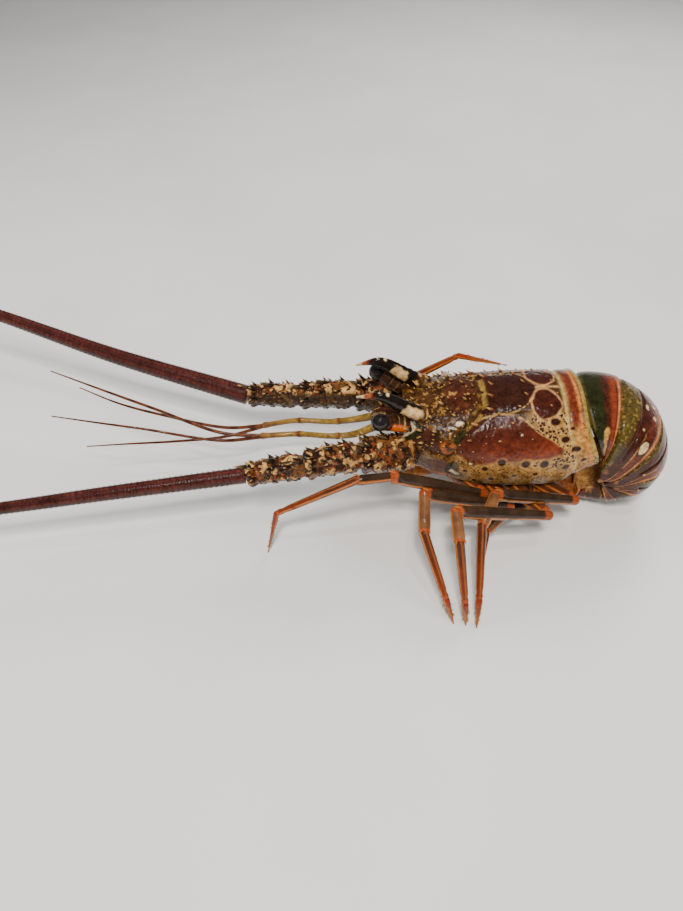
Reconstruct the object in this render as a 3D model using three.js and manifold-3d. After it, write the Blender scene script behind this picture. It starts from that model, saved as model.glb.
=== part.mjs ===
// Caribbean spiny lobster at life size, standing with its tail curled under the body.
// Millimetres. The head points to -X, the left side to -Y, up is +Z.
// The origin lies on the flat under the curled tail, where it meets the floor.
import * as THREE from 'three';
import { mergeVertices } from 'three/addons/utils/BufferGeometryUtils.js';
import Module from 'manifold-3d';

const wasm = await Module();
wasm.setup();

// Joints between neighbouring plates, and how fine the grids are
const GAP = 0.3;
const SHELL_SIDES = 30;
const TAIL_SIDES = 24;
const LIMB_SIDES = 7;
const SPINE_SIDES = 5;
const FULL_TURN = 2 * Math.PI;

// Carapace, measured along the back from the front margin to the rear rim
const CARAPACE_FRONT_X = -140;
const CARAPACE_REAR_X = -24;
const CARAPACE_CORNER_X = -14;
const REAR_CORNER_SWEEP = CARAPACE_CORNER_X - CARAPACE_REAR_X;
const GROOVE_X = -88;
const GROOVE_SWEEP = 17;
const GROOVE_DEPTH = 1.8;
const GROOVE_HALF_WIDTH = 3.6;
const RIM_WIDTH = 13;
const RIM_GROOVE_DEPTH = 0.9;
const CARAPACE_HALF_WIDTHS = [26, 33.5, 37.8, 39.7, 40, 39.3, 38];
const CARAPACE_TOPS = [87.5, 90, 92.8, 95, 96.8, 96.8, 95.2];
const CARAPACE_WAISTS = [69, 65, 62, 60.5, 60.5, 62.5, 69];
const CARAPACE_EDGES = [54, 47.5, 44, 42, 42, 45, 61];
const CARAPACE_BELLIES = [50, 44.5, 40.3, 40.3, 40.3, 40.3, 46];

// Tail, curled about a centre line that lies across the body
const TAIL_CENTRE_Z = 47.4;
const TAIL_START = -30;
const TAIL_END = 190;
const TAIL_RADII = [51.4, 45, 42, 42, 44.8, 47.4, 48.2, 48.2, 48.2];
const TAIL_YAW = 14;
const TAIL_HALF_WIDTHS = [31.5, 32, 32.4, 32.4, 31.8, 30.8, 29.5, 27, 24];
const TAIL_BELLY_RADII = [20, 18, 17, 18, 20, 23, 25, 29, 36];
const TAIL_EDGE_RADII = [14, 12, 11, 11, 13, 15, 17, 22, 31];
const RING_ENDS = [-30, 4, 54, 92, 126, 157, 190];
const RING_STEPS = 4;
const RING_STEP_OFFSETS = [-1.7, -0.3, 0, 0.4, -0.5];
const PLEURON_TIP_RADIUS = 5.5;
const FLANK_DROP = 16;
const FLANK_LOW = 12;
const FLANK_HIGH = 34;

// Horns, eyes and the plate between the feelers
const EYE_RADIUS = 5.8;
const EYE_CENTRE = [-155.7, 24, 88.5];
const HORN_RADII = [5.4, 5, 3.4, 0.6];

// Feelers
const FLAGELLUM_RADII = { left: 5.5, right: 7.2 };
const FLAGELLUM_TIP_RADIUS = 0.6;
const ANTENNULE_RADIUS = 1.9;

// Breastplate that carries the legs
const STERNUM_FRONT_X = -118;
const STERNUM_REAR_X = -32;
const STERNUM_HALF_WIDTHS = [9, 14, 19, 24, 26];
const STERNUM_TOP = 40;
const STERNUM_BOTTOM = 28;

// Legs, thickness at each joint
const COXA_RADII = [6.4, 5.4, 4.6];
const MERUS_RADII = [4.3, 4.9, 5.1];
const CARPUS_RADII = [3.9, 4.1];
const PROPODUS_RADII = [3.5, 2.7];
const DACTYL_RADII = [2.5, 0.6];

const v = (x, y, z) => new THREE.Vector3(x, y, z);

// A size that runs smoothly through evenly spaced named values
function along(values, t) {
  const last = values.length - 1;
  const place = THREE.MathUtils.clamp(t, 0, 1) * last;
  const cell = Math.min(Math.floor(place), last - 1);
  const f = place - cell;
  const before = values[Math.max(cell - 1, 0)];
  const here = values[cell];
  const next = values[cell + 1];
  const after = values[Math.min(cell + 2, last)];
  const slopeHere = (next - before) / 2;
  const slopeNext = (after - here) / 2;
  const bend = 2 * (here - next) + slopeHere + slopeNext;
  const lean = 3 * (next - here) - 2 * slopeHere - slopeNext;
  return ((bend * f + lean) * f + slopeHere) * f + here;
}

// Random numbers that come out the same on every run
function seeded(seed) {
  let state = seed;
  return () => {
    state = (state * 16807) % 2147483647;
    return state / 2147483647;
  };
}

// A closed mesh as a solid, turned so that its faces point out
function toSolid(geometry) {
  geometry.deleteAttribute('normal');
  geometry.deleteAttribute('uv');
  const mesh = mergeVertices(geometry, 1e-5);
  const spots = new Float32Array(mesh.attributes.position.array);
  const faces = new Uint32Array(mesh.index.array);
  const corner = (i) => v(spots[3 * i], spots[3 * i + 1], spots[3 * i + 2]);
  let volume = 0;
  for (let i = 0; i < faces.length; i += 3) {
    volume += corner(faces[i]).dot(corner(faces[i + 1]).cross(corner(faces[i + 2])));
  }
  if (volume < 0) faces.reverse();
  return new wasm.Manifold(new wasm.Mesh({ numProp: 3, vertProperties: spots, triVerts: faces }));
}

// A closed skin on a cylinder's grid: place gives the ring points, middle the ends' centres
function skin(sides, steps, place, middle) {
  const grid = new THREE.CylinderGeometry(1, 1, 1, sides, steps);
  const spots = grid.attributes.position;
  for (let i = 0; i < spots.count; i += 1) {
    const x = spots.getX(i);
    const z = spots.getZ(i);
    const t = Math.round((0.5 - spots.getY(i)) * steps) / steps;
    const side = (Math.round((Math.atan2(x, z) / FULL_TURN) * sides) + sides) % sides;
    const centred = Math.hypot(x, z) < 0.5;
    const point = centred ? middle(t) : place(t, (side / sides) * FULL_TURN);
    spots.setXYZ(i, point.x, point.y, point.z);
  }
  return toSolid(grid);
}

// A tapering limb along a path; its section is wide times as broad as it is high
function limb(points, radii, grow, { sides = LIMB_SIDES, steps = 3, wide = 1, up = v(0, 0, 1) } = {}) {
  const path = new THREE.CatmullRomCurve3(points, false, 'centripetal');
  const frame = (t) => {
    const ahead = path.getTangent(t);
    const across = ahead.clone().cross(up).normalize();
    const top = across.clone().cross(ahead);
    const reach = t === 0 ? -grow : t === 1 ? grow : 0;
    return { centre: path.getPoint(t).addScaledVector(ahead, reach), across, top };
  };
  const place = (t, angle) => {
    const { centre, across, top } = frame(t);
    const radius = along(radii, t);
    centre.addScaledVector(across, Math.sin(angle) * (radius * wide + grow));
    return centre.addScaledVector(top, Math.cos(angle) * (radius + grow));
  };
  return skin(sides, steps, place, (t) => frame(t).centre);
}

// A spine: a cone whose root is sunk into what it grows from
function spine(root, direction, length, radius, grow) {
  const sunk = radius * 1.3;
  const cone = new THREE.ConeGeometry(radius + grow, length + sunk + grow, SPINE_SIDES);
  cone.translate(0, (length + sunk + grow) / 2 - sunk, 0);
  const turn = new THREE.Quaternion().setFromUnitVectors(v(0, 1, 0), direction.clone().normalize());
  cone.applyQuaternion(turn);
  cone.translate(root.x, root.y, root.z);
  return toSolid(cone);
}

const joined = (solids) => wasm.Manifold.union(solids);

// How far round the section a point lies: 0 on the back, 1 under the belly
const roundness = (angle) => Math.abs(angle > Math.PI ? angle - FULL_TURN : angle) / Math.PI;
const sideOf = (angle) => (angle > Math.PI ? -1 : 1);
const bump = (u) => Math.exp(-u * u);

// One arched section: the back, the side wall down to its edge, and the underside
const ARCH_END = 0.6;
const WALL_END = 0.8;
const ARCH_FULLNESS = 0.97;
const WALL_TUCK = 0.07;
function arched(s, size) {
  if (s <= ARCH_END) {
    const turn = (s / ARCH_END) * (Math.PI / 2);
    return {
      out: size.half * Math.sin(turn) ** ARCH_FULLNESS,
      up: size.waist + (size.top - size.waist) * Math.max(Math.cos(turn), 0) ** ARCH_FULLNESS,
    };
  }
  if (s <= WALL_END) {
    const f = (s - ARCH_END) / (WALL_END - ARCH_END);
    return { out: size.half * (1 - WALL_TUCK * f * f), up: size.waist + (size.edge - size.waist) * f };
  }
  const f = (s - WALL_END) / (1 - WALL_END);
  return {
    out: size.half * (1 - WALL_TUCK) * (1 - f),
    up: size.edge + (size.belly - size.edge) * Math.sin((f * Math.PI) / 2),
  };
}

// Carapace surface, with the cervical groove and the thick rear rim pressed into it
const grooveX = (s) => GROOVE_X - GROOVE_SWEEP * THREE.MathUtils.smoothstep(s, 0.1, 0.42) - 3 * s;
const rimX = (s) => CARAPACE_REAR_X + REAR_CORNER_SWEEP * THREE.MathUtils.smoothstep(s, 0.2, 0.7);
function carapacePoint(x, angle, grow) {
  const s = roundness(angle);
  const t = (x - CARAPACE_FRONT_X) / (CARAPACE_CORNER_X - CARAPACE_FRONT_X);
  const groove = GROOVE_DEPTH * bump((x - grooveX(s)) / GROOVE_HALF_WIDTH);
  const rim = RIM_GROOVE_DEPTH * bump((x - rimX(s) + RIM_WIDTH) / 2.2);
  const lift = grow - (s < WALL_END ? groove + rim : 0);
  const size = {
    half: along(CARAPACE_HALF_WIDTHS, t) + lift,
    top: along(CARAPACE_TOPS, t) + lift,
    waist: along(CARAPACE_WAISTS, t),
    edge: along(CARAPACE_EDGES, t) - grow,
    belly: along(CARAPACE_BELLIES, t) - grow,
  };
  const at = arched(s, size);
  return v(x, sideOf(angle) * at.out, at.up);
}

// The middle of a carapace section, where the end faces meet
const heartX = (ends) => (ends(0) + ends(1)) / 2;
const CARAPACE_HEART_Z = 66;

function carapacePiece(frontEnd, rearEnd, steps, grow) {
  const xAt = (t, s) => THREE.MathUtils.lerp(frontEnd(s) - grow, rearEnd(s) + grow, t);
  const place = (t, angle) => carapacePoint(xAt(t, roundness(angle)), angle, grow);
  const ends = [heartX(frontEnd) - grow, heartX(rearEnd) + grow];
  return skin(SHELL_SIDES, steps, place, (t) => v(ends[t < 0.5 ? 0 : 1], 0, CARAPACE_HEART_Z));
}
const FRONT_STEPS = 7;
const REAR_STEPS = 9;
const frontMargin = () => CARAPACE_FRONT_X;
const carapaceFront = (grow) => carapacePiece(frontMargin, (s) => grooveX(s) - GAP / 1.6, FRONT_STEPS, grow);
const carapaceRear = (grow) => carapacePiece((s) => grooveX(s) + GAP / 1.6, rimX, REAR_STEPS, grow);

// Spines stand on the carapace and lean forwards
const SPINE_LEAN = 0.9;
function carapaceSpine(x, degrees, length, grow) {
  const angle = (degrees * Math.PI) / 180 + (degrees < 0 ? FULL_TURN : 0);
  const root = carapacePoint(x, angle, 0);
  const ahead = carapacePoint(x - 1, angle, 0).sub(root).normalize();
  const beside = carapacePoint(x, angle + 0.05, 0).sub(root).normalize();
  const out = beside.cross(ahead).normalize();
  if (out.dot(v(0, root.y, root.z - CARAPACE_HEART_Z)) < 0) out.negate();
  return spine(root, out.addScaledVector(ahead, SPINE_LEAN), length, 0.6 + length * 0.2, grow);
}

// Rows of spines: where each row starts and ends, at what angle, how many and how long
const FRONT_ROWS = [
  { from: -127, to: -100, near: 21, far: 14, count: 3, first: 7.5, last: 5 },
  { from: -133, to: -97, near: 7, far: 7, count: 3, first: 4, last: 3 },
  { from: -133, to: -108, near: 44, far: 36, count: 3, first: 7.5, last: 4.5 },
  { from: -136, to: -112, near: 66, far: 56, count: 4, first: 6.5, last: 4 },
  { from: -138, to: -114, near: 88, far: 80, count: 3, first: 8, last: 3.5 },
];
const REAR_ROWS = [
  { from: -82, to: -42, near: 9, far: 9, count: 3, first: 4.4, last: 2 },
  { from: -84, to: -46, near: 28, far: 26, count: 3, first: 4.2, last: 2 },
  { from: -93, to: -50, near: 47, far: 44, count: 3, first: 4.2, last: 2 },
  { from: -99, to: -58, near: 68, far: 64, count: 3, first: 3.6, last: 2 },
];
function spineRows(rows, seed, grow) {
  const random = seeded(seed);
  const all = [];
  for (const row of rows) {
    for (let i = 0; i < row.count; i += 1) {
      const f = i / (row.count - 1);
      for (const side of [-1, 1]) {
        const x = THREE.MathUtils.lerp(row.from, row.to, f) + (random() - 0.5) * 2.4;
        const degrees = THREE.MathUtils.lerp(row.near, row.far, f) + (random() - 0.5) * 3;
        const length = THREE.MathUtils.lerp(row.first, row.last, f) * (0.88 + random() * 0.24);
        all.push(carapaceSpine(x, side * degrees, length, grow));
      }
    }
  }
  return joined(all);
}

// The tail bends a little to the left behind its first ring
const YAW_FROM = -30;
const YAW_TO = 4;
function yawed(point, degrees) {
  const share = THREE.MathUtils.clamp((degrees - YAW_FROM) / (YAW_TO - YAW_FROM), 0, 1);
  return point.applyAxisAngle(v(0, 0, 1), (-TAIL_YAW * share * Math.PI) / 180);
}

// Tail rings: each wedge is a plate whose front slides under the one ahead
const WAIST_DROP = 0.62;
const degreesToTail = (degrees) => (degrees - TAIL_START) / (TAIL_END - TAIL_START);

// How far the flanks of the upper rings hang below the round of the curl
function flankDrop(degrees, up) {
  const low = 1 - THREE.MathUtils.smoothstep(up, FLANK_LOW, FLANK_HIGH);
  const begins = THREE.MathUtils.smoothstep(degrees, -25, 25);
  const fades = THREE.MathUtils.smoothstep(degrees, 60, 190);
  return FLANK_DROP * low * begins * (1 - fades);
}

function tailPoint(degrees, angle, offset, shift) {
  const t = degreesToTail(degrees);
  const turn = (degrees * Math.PI) / 180;
  const size = {
    half: along(TAIL_HALF_WIDTHS, t) + offset,
    top: along(TAIL_RADII, t) + offset,
    waist: along(TAIL_RADII, t) - WAIST_DROP * along(TAIL_HALF_WIDTHS, t),
    edge: along(TAIL_EDGE_RADII, t),
    belly: along(TAIL_BELLY_RADII, t),
  };
  const at = arched(roundness(angle), size);
  const point = v(
    Math.sin(turn) * at.up + Math.cos(turn) * shift,
    sideOf(angle) * at.out,
    TAIL_CENTRE_Z + Math.cos(turn) * at.up - Math.sin(turn) * shift,
  );
  point.z -= flankDrop(degrees, at.up);
  return yawed(point, degrees);
}

function tailRing(index, grow) {
  const from = RING_ENDS[index];
  const to = RING_ENDS[index + 1];
  const back = GAP / 2 - grow;
  const shiftAt = (t) => (t === 0 ? back : t === 1 ? -back : 0);
  const offsetAt = (t) => RING_STEP_OFFSETS[Math.round(t * RING_STEPS)] + grow;
  const degreesAt = (t) => THREE.MathUtils.lerp(from, to, t);
  const place = (t, angle) => tailPoint(degreesAt(t), angle, offsetAt(t), shiftAt(t));
  const middle = (t) => {
    const outer = tailPoint(degreesAt(t), 0, 0, shiftAt(t));
    return outer.lerp(tailPoint(degreesAt(t), Math.PI, 0, shiftAt(t)), 0.4);
  };
  return skin(TAIL_SIDES, RING_STEPS, place, middle);
}

// Polar place about the curl's centre line, for what hangs from a ring's lower edge
function curlPoint(degrees, radius, y) {
  const turn = (degrees * Math.PI) / 180;
  const up = TAIL_CENTRE_Z + Math.cos(turn) * radius - flankDrop(degrees, radius);
  return yawed(v(Math.sin(turn) * radius, y, up), degrees);
}

// Pointed side lobes and, under the middle rings, the leaf-shaped swimmerets
const PLEURON_RADII = [4.6, 3.4, 0.5];
const SWIMMERET_RADII = [1.6, 2.3, 2, 0.7];
function ringTrims(index, grow) {
  const from = RING_ENDS[index];
  const to = RING_ENDS[index + 1];
  const tipAt = THREE.MathUtils.lerp(from, to, 0.6);
  const t = degreesToTail(tipAt);
  const half = along(TAIL_HALF_WIDTHS, t);
  const edge = along(TAIL_EDGE_RADII, t);
  const across = yawed(v(0, 1, 0), tipAt);
  const broad = (to - from) / 34;
  const trims = [];
  for (const side of [-1, 1]) {
    const lobe = [
      curlPoint(tipAt - 3, edge + 8, side * half * 0.93),
      curlPoint(tipAt - 1, edge + 1, side * half * 0.95),
      curlPoint(tipAt, Math.max(edge - 9, PLEURON_TIP_RADIUS), side * half * 0.98),
    ];
    const radii = PLEURON_RADII.map((radius) => radius * broad);
    const lean = curlPoint(tipAt + 90, 1, 0).sub(curlPoint(tipAt + 90, 0, 0));
    trims.push(limb(lobe, radii, grow, { sides: 6, steps: 2, wide: 0.4 / broad, up: lean }));
  }
  if (index > 0 && index < 5) {
    const belly = along(TAIL_BELLY_RADII, t);
    for (const side of [-1, 1]) {
      const leaf = [
        curlPoint(tipAt - 8, belly + 4, side * half * 0.42),
        curlPoint(tipAt - 6, belly - 4, side * half * 0.46),
        curlPoint(tipAt - 5, belly - 8, side * half * 0.4),
        curlPoint(tipAt - 4, 8.5, side * half * 0.3),
      ];
      trims.push(limb(leaf, SWIMMERET_RADII, grow, { sides: 5, wide: 0.5, up: across }));
    }
  }
  return joined(trims);
}

// Tail fan plates, lying one over another under the breast
function fanPlate(root, tip, halfWidths, thicknesses, grow) {
  const path = (t) => root.clone().lerp(tip, t);
  const ahead = tip.clone().sub(root).normalize();
  const across = ahead.clone().cross(v(0, 0, 1)).normalize();
  const place = (t, angle) => {
    const point = path(t).addScaledVector(ahead, t === 0 ? -grow : t === 1 ? grow : 0);
    point.addScaledVector(across, Math.sin(angle) * (along(halfWidths, t) + grow));
    const half = along(thicknesses, t) / 2 + grow;
    point.z += Math.sign(Math.cos(angle)) * half * Math.abs(Math.cos(angle)) ** 0.6;
    return point;
  };
  return skin(10, 4, place, (t) => path(t).addScaledVector(ahead, t === 0 ? -grow : grow));
}

// Breastplate: narrow between the front legs, broad at the rear
function sternum(grow) {
  const place = (t, angle) => {
    const half = along(STERNUM_HALF_WIDTHS, t) + grow;
    const middle = (STERNUM_TOP + STERNUM_BOTTOM) / 2;
    const high = (STERNUM_TOP - STERNUM_BOTTOM) / 2 + grow;
    const x = THREE.MathUtils.lerp(STERNUM_FRONT_X - grow, STERNUM_REAR_X + grow, t);
    const square = (c) => Math.sign(c) * Math.abs(c) ** 0.6;
    return v(x, half * square(Math.sin(angle)), middle + high * square(Math.cos(angle)));
  };
  const ends = [STERNUM_FRONT_X - grow, STERNUM_REAR_X + grow];
  return skin(12, 4, place, (t) => v(ends[t < 0.5 ? 0 : 1], 0, (STERNUM_TOP + STERNUM_BOTTOM) / 2));
}

const mirrored = (point, side) => v(point[0], side * point[1], point[2]);

// Horns over the eyes: broad flattened roots, curving forwards to a point
function horn(side, grow) {
  const path = [[-126, 16, 86], [-138, 16.5, 93], [-155, 16.5, 103.5], [-171, 15, 102]];
  const points = path.map((point) => mirrored(point, side));
  return limb(points, HORN_RADII, grow, { sides: 9, steps: 5, wide: 0.85 });
}

function eyeBall(side, grow) {
  const ball = new THREE.SphereGeometry(EYE_RADIUS + grow, 10, 7);
  const centre = mirrored(EYE_CENTRE, side);
  ball.translate(centre.x, centre.y, centre.z);
  return toSolid(ball);
}

function eyeStalk(side, grow) {
  const points = [[-137, 17, 79], [-146, 20, 84], [-153, 23, 87.5]].map((point) => mirrored(point, side));
  return limb(points, [5.2, 5, 4.4], grow, { steps: 2 });
}

// Plate between the feelers, with the two small ridges of its floor
function antennularPlate(grow) {
  return limb([v(-137, 0, 68), v(-149, 0, 68), v(-160, 0, 65)], [8.6, 8, 6], grow, { sides: 10, wide: 1.25 });
}

// Feeler stalks: a broad fixed base and two long spiny pieces on each side
const STALK_PATHS = {
  left: [[-136, -26, 62], [-168, -32.5, 66], [-204, -38, 63], [-242, -42, 58]],
  right: [[-136, 26, 62], [-170, 28.5, 63], [-210, 32.5, 58], [-248, 37.5, 53]],
};
const STALK_RADII = [[12.5, 12.6, 10.4], [10, 9.8, 8.8], [8.6, 8.2, 6.9]];
function stalkEnds(sideName, piece) {
  const path = STALK_PATHS[sideName];
  return [v(...path[piece]), v(...path[piece + 1])];
}
function stalkPiece(sideName, piece, grow) {
  const [root, end] = stalkEnds(sideName, piece);
  const swell = root.clone().lerp(end, 0.5);
  swell.z += 0.8;
  return limb([root, swell, end], STALK_RADII[piece], grow, { sides: 12, wide: 0.95 });
}

// Two rows of strong spines along each stalk piece, a ring of them at its end, and two
// long ones that lie forwards along its top
const LONG_SPINES = [
  { f: 0.9, degrees: -6, length: 11, lean: 2.4 },
  { f: 0.5, degrees: 6, length: 9, lean: 2.4 },
];
function stalkSpines(sideName, piece, grow) {
  const [root, end] = stalkEnds(sideName, piece);
  const random = seeded(41 + piece * 7 + (sideName === 'left' ? 0 : 3));
  const ahead = end.clone().sub(root).normalize();
  const across = ahead.clone().cross(v(0, 0, 1)).normalize();
  const top = across.clone().cross(ahead);
  const spots = [];
  for (const degrees of [-62, -18, 30, 72]) {
    spots.push({ f: 0.84, degrees, length: 6.5 - piece * 0.8 });
  }
  for (const f of [0.22, 0.52]) {
    spots.push({ f: f + 0.04, degrees: -40, length: 5.2 }, { f, degrees: 44, length: 5.2 });
  }
  spots.push(...LONG_SPINES);
  const all = spots.map((spot) => {
    const angle = ((spot.degrees + (random() - 0.5) * 12) * Math.PI) / 180;
    const out = across.clone().multiplyScalar(Math.sin(angle)).addScaledVector(top, Math.cos(angle));
    const radius = along(STALK_RADII[piece], spot.f);
    const foot = root.clone().lerp(end, spot.f).addScaledVector(out, radius - 0.2);
    const length = spot.length * (0.85 + random() * 0.3);
    return spine(foot, out.addScaledVector(ahead, spot.lean ?? 0.8), length, 0.7 + length * 0.17, grow);
  });
  return joined(all);
}

// Long feelers: one gentle curve on each side, in three lengths
const FLAGELLUM_PATHS = {
  left: [[-242, -42, 58], [-333, -57, 57], [-396, -66, 54], [-520, -82, 50], [-668, -112, 58]],
  right: [[-248, 37.5, 53], [-348, 65, 67], [-438, 94, 82], [-540, 126, 96], [-650, 152, 106]],
};
const FLAGELLUM_ENDS = [0, 0.3, 0.62, 1];
const FLAGELLUM_STEPS = 6;
const FLAGELLUM_TAPER = 0.8;
function flagellumPiece(sideName, piece, grow) {
  const curve = new THREE.CatmullRomCurve3(FLAGELLUM_PATHS[sideName].map((point) => v(...point)));
  const reach = curve.getLength();
  const from = FLAGELLUM_ENDS[piece] + (piece === 0 ? 0 : GAP / 2 / reach);
  const to = FLAGELLUM_ENDS[piece + 1] - (piece === 2 ? 0 : GAP / 2 / reach);
  const count = FLAGELLUM_STEPS;
  const points = Array.from({ length: count + 1 }, (_, i) => curve.getPointAt(from + ((to - from) * i) / count));
  const radii = points.map((_, i) => {
    const f = from + ((to - from) * i) / count;
    const whole = FLAGELLUM_RADII[sideName] - FLAGELLUM_TIP_RADIUS;
    return FLAGELLUM_TIP_RADIUS + whole * (1 - f) ** FLAGELLUM_TAPER;
  });
  return limb(points, radii, grow, { steps: count });
}

// Small feelers: a thin jointed stalk that forks into two whips
const ANTENNULE_PATHS = {
  left: {
    stalk: [[-157, -5, 65], [-171, -8, 60.5], [-186, -9, 59.6], [-209, -10, 62.7], [-235, -12, 62.8]],
    upper: [[-233, -12, 63], [-260, -13, 67], [-305, -2, 79], [-338, 6, 88], [-372, 14, 98]],
    lower: [[-233, -12, 62], [-261, -14, 60.5], [-311, -15, 73], [-340, -15, 79], [-368, -14, 84]],
  },
  right: {
    stalk: [[-157, 5, 65], [-172, 8, 58], [-188, 10, 54], [-212, 11, 54], [-236, 9, 51]],
    upper: [[-234, 9, 51.2], [-262, 8, 50], [-305, 14, 56], [-338, 22, 60], [-366, 30, 68]],
    lower: [[-234, 9, 50.6], [-262, 4, 45], [-300, 0, 44], [-330, -4, 46], [-356, -10, 50]],
  },
};
function antennule(sideName, grow) {
  const paths = ANTENNULE_PATHS[sideName];
  const curve = (name) => paths[name].map((point) => v(...point));
  const stalkRadii = [ANTENNULE_RADIUS * 1.5, ANTENNULE_RADIUS * 1.1, ANTENNULE_RADIUS, ANTENNULE_RADIUS];
  return joined([
    limb(curve('stalk'), stalkRadii, grow, { sides: 7, steps: 6 }),
    limb(curve('upper'), [1.3, 1.1, 0.9, 0.4], grow, { sides: 5, steps: 6 }),
    limb(curve('lower'), [1.3, 1, 0.8, 0.4], grow, { sides: 5, steps: 6 }),
  ]);
}

// Mouthparts under the head
function mouth(grow) {
  return limb([v(-116, 0, 36), v(-130, 0, 40), v(-138, 0, 45)], [6, 8, 5], grow, { sides: 10, wide: 1.3 });
}
function maxilliped(side, grow) {
  const points = [[-113, 14, 33], [-130, 15, 29], [-146, 12, 34], [-143, 9, 42]];
  return limb(points.map((point) => mirrored(point, side)), [4, 3.8, 3, 1.4], grow, { steps: 7 });
}

// Legs. Each has its knee by the flank, an elbow, a wrist and a toe on the floor
const HIP_X = [-105, -88, -72, -57, -42];
const HIP_Z = 33;
const LEG_POSES = {
  left_1: { knee: [-86, -46, 43], elbow: [-149, -50, 66], wrist: [-172, -55, 68], toe: [-231, -64, -0.4] },
  left_2: { knee: [-68, -50, 35], elbow: [-127, -55, 54.5], wrist: [-128, -79, 44], toe: [-108, -118, -0.4] },
  left_3: { knee: [-45, -60, 38], elbow: [-108, -68, 53], wrist: [-107, -88, 46], toe: [-100.5, -119, -0.4] },
  left_4: { knee: [-24, -46, 36], elbow: [-80, -52, 50], wrist: [-91, -73, 43.5], toe: [-94, -121, -0.4] },
  left_5: { knee: [-44, -36, 25], elbow: [-67, -45, 20], wrist: [-81, -57, 15], toe: [-87, -78, -0.4] },
  right_1: { knee: [-84, 47, 40], elbow: [-134, 47, 50], wrist: [-128, 47, 62], toe: [-60, 49, 72] },
  right_2: { knee: [-68, 50, 36], elbow: [-116, 55, 45], wrist: [-119, 73, 34], toe: [-112, 108, -0.4] },
  right_3: { knee: [-47, 53, 36], elbow: [-97, 62, 46], wrist: [-98, 80, 34], toe: [-92, 113, -0.4] },
  right_4: { knee: [-27, 48, 36], elbow: [-66, 62, 43], wrist: [-62, 79, 32], toe: [-50, 109, -0.4] },
  right_5: { knee: [-26, 42, 27], elbow: [8, 54, 30], wrist: [24, 57, 23], toe: [50, 60, -0.4] },
};
const HEELS = {
  left_1: [-223, -56, 35],
  right_1: [-97, 48, 82],
};
const HEEL_SHARE = 0.7;
const HEEL_BOW = 2.5;

function legJoints(name) {
  const [sideName, number] = name.split('_');
  const side = sideName === 'left' ? -1 : 1;
  const pose = LEG_POSES[name];
  const wrist = v(...pose.wrist);
  const toe = v(...pose.toe);
  const bowed = wrist.clone().lerp(toe, HEEL_SHARE).add(v(0, side * HEEL_BOW, HEEL_BOW));
  const heel = HEELS[name] ? v(...HEELS[name]) : bowed;
  const hip = v(HIP_X[number - 1], side * 12, HIP_Z);
  return { hip, knee: v(...pose.knee), elbow: v(...pose.elbow), wrist, heel, toe };
}

function legUpper(name, grow) {
  const { hip, knee, elbow } = legJoints(name);
  const bend = hip.clone().lerp(knee, 0.55);
  bend.z -= 2;
  return joined([
    limb([hip, bend, knee], COXA_RADII, grow, { steps: 2 }),
    limb([knee, elbow], MERUS_RADII, grow, { steps: 2, wide: 0.82 }),
  ]);
}

function legLower(name, grow) {
  const { elbow, wrist, heel, toe } = legJoints(name);
  const size = name.endsWith('5') ? 0.82 : 1;
  const scaled = (radii) => radii.map((radius) => radius * size);
  return joined([
    limb([elbow, wrist], scaled(CARPUS_RADII), grow, { steps: 1 }),
    limb([wrist, heel], scaled(PROPODUS_RADII), grow, { steps: 1 }),
    limb([heel, toe], scaled(DACTYL_RADII), grow, { steps: 1 }),
  ]);
}

// A short strong spine over each elbow
function elbowSpine(name, grow) {
  const { knee, elbow } = legJoints(name);
  const ahead = elbow.clone().sub(knee).normalize();
  const root = elbow.clone().addScaledVector(ahead, -3).add(v(0, 0, 4.6));
  return spine(root, ahead.add(v(0, 0, 0.5)), 5, 1.5, grow);
}

// Every node in order: a node later in the list is cut clear of the ones before it
const MAROON = 0x4a2320;
const OLIVE = 0x5b4a2a;
const ORANGE = 0xb4602f;
const CREAM = 0xcfb98a;
const SLATE = 0x3a3433;
const parts = [];
const place = (name, colour, core, trims = null) => parts.push({ name, colour, core, trims });

place('carapace_front', OLIVE, carapaceFront, (grow) => spineRows(FRONT_ROWS, 7, grow));
place('carapace_rear', MAROON, carapaceRear, (grow) => spineRows(REAR_ROWS, 19, grow));
place('sternum', CREAM, sternum);
for (let i = 0; i < 6; i += 1) {
  place(`abdomen_${i + 1}`, i % 2 ? MAROON : OLIVE, (grow) => tailRing(i, grow), (grow) => ringTrims(i, grow));
}
const fanSpot = (x, y, z) => yawed(v(x, y, z), TAIL_END);
const telson = (grow) => fanPlate(
  fanSpot(-6, 0, 2.9), fanSpot(-64, 0, 2.6), [12, 14, 17, 15], [4, 3, 2.4, 1.6], grow);
place('telson', ORANGE, telson);
for (const side of [-1, 1]) {
  const sideName = side < 0 ? 'left' : 'right';
  const inner = (grow) => fanPlate(
    fanSpot(-5, side * 15, 5.4), fanSpot(-62, side * 22, 5.2), [6, 12, 14, 10], [3.4, 2.2, 1.8, 1.4], grow);
  const outer = (grow) => fanPlate(
    fanSpot(-4, side * 17, 8.4), fanSpot(-58, side * 32, 8.2), [6, 12, 14, 10], [3.4, 2.2, 1.8, 1.4], grow);
  place(`uropod_inner_${sideName}`, ORANGE, inner);
  place(`uropod_outer_${sideName}`, ORANGE, outer);
  place(`horn_${sideName}`, CREAM, (grow) => horn(side, grow));
  place(`eye_${sideName}`, 0x0c0a0a, (grow) => eyeBall(side, grow));
  place(`eyestalk_${sideName}`, ORANGE, (grow) => eyeStalk(side, grow));
}
place('antennular_plate', OLIVE, antennularPlate);
const STALK_NAMES = ['antenna_base', 'antenna_stalk_middle', 'antenna_stalk_end'];
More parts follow.
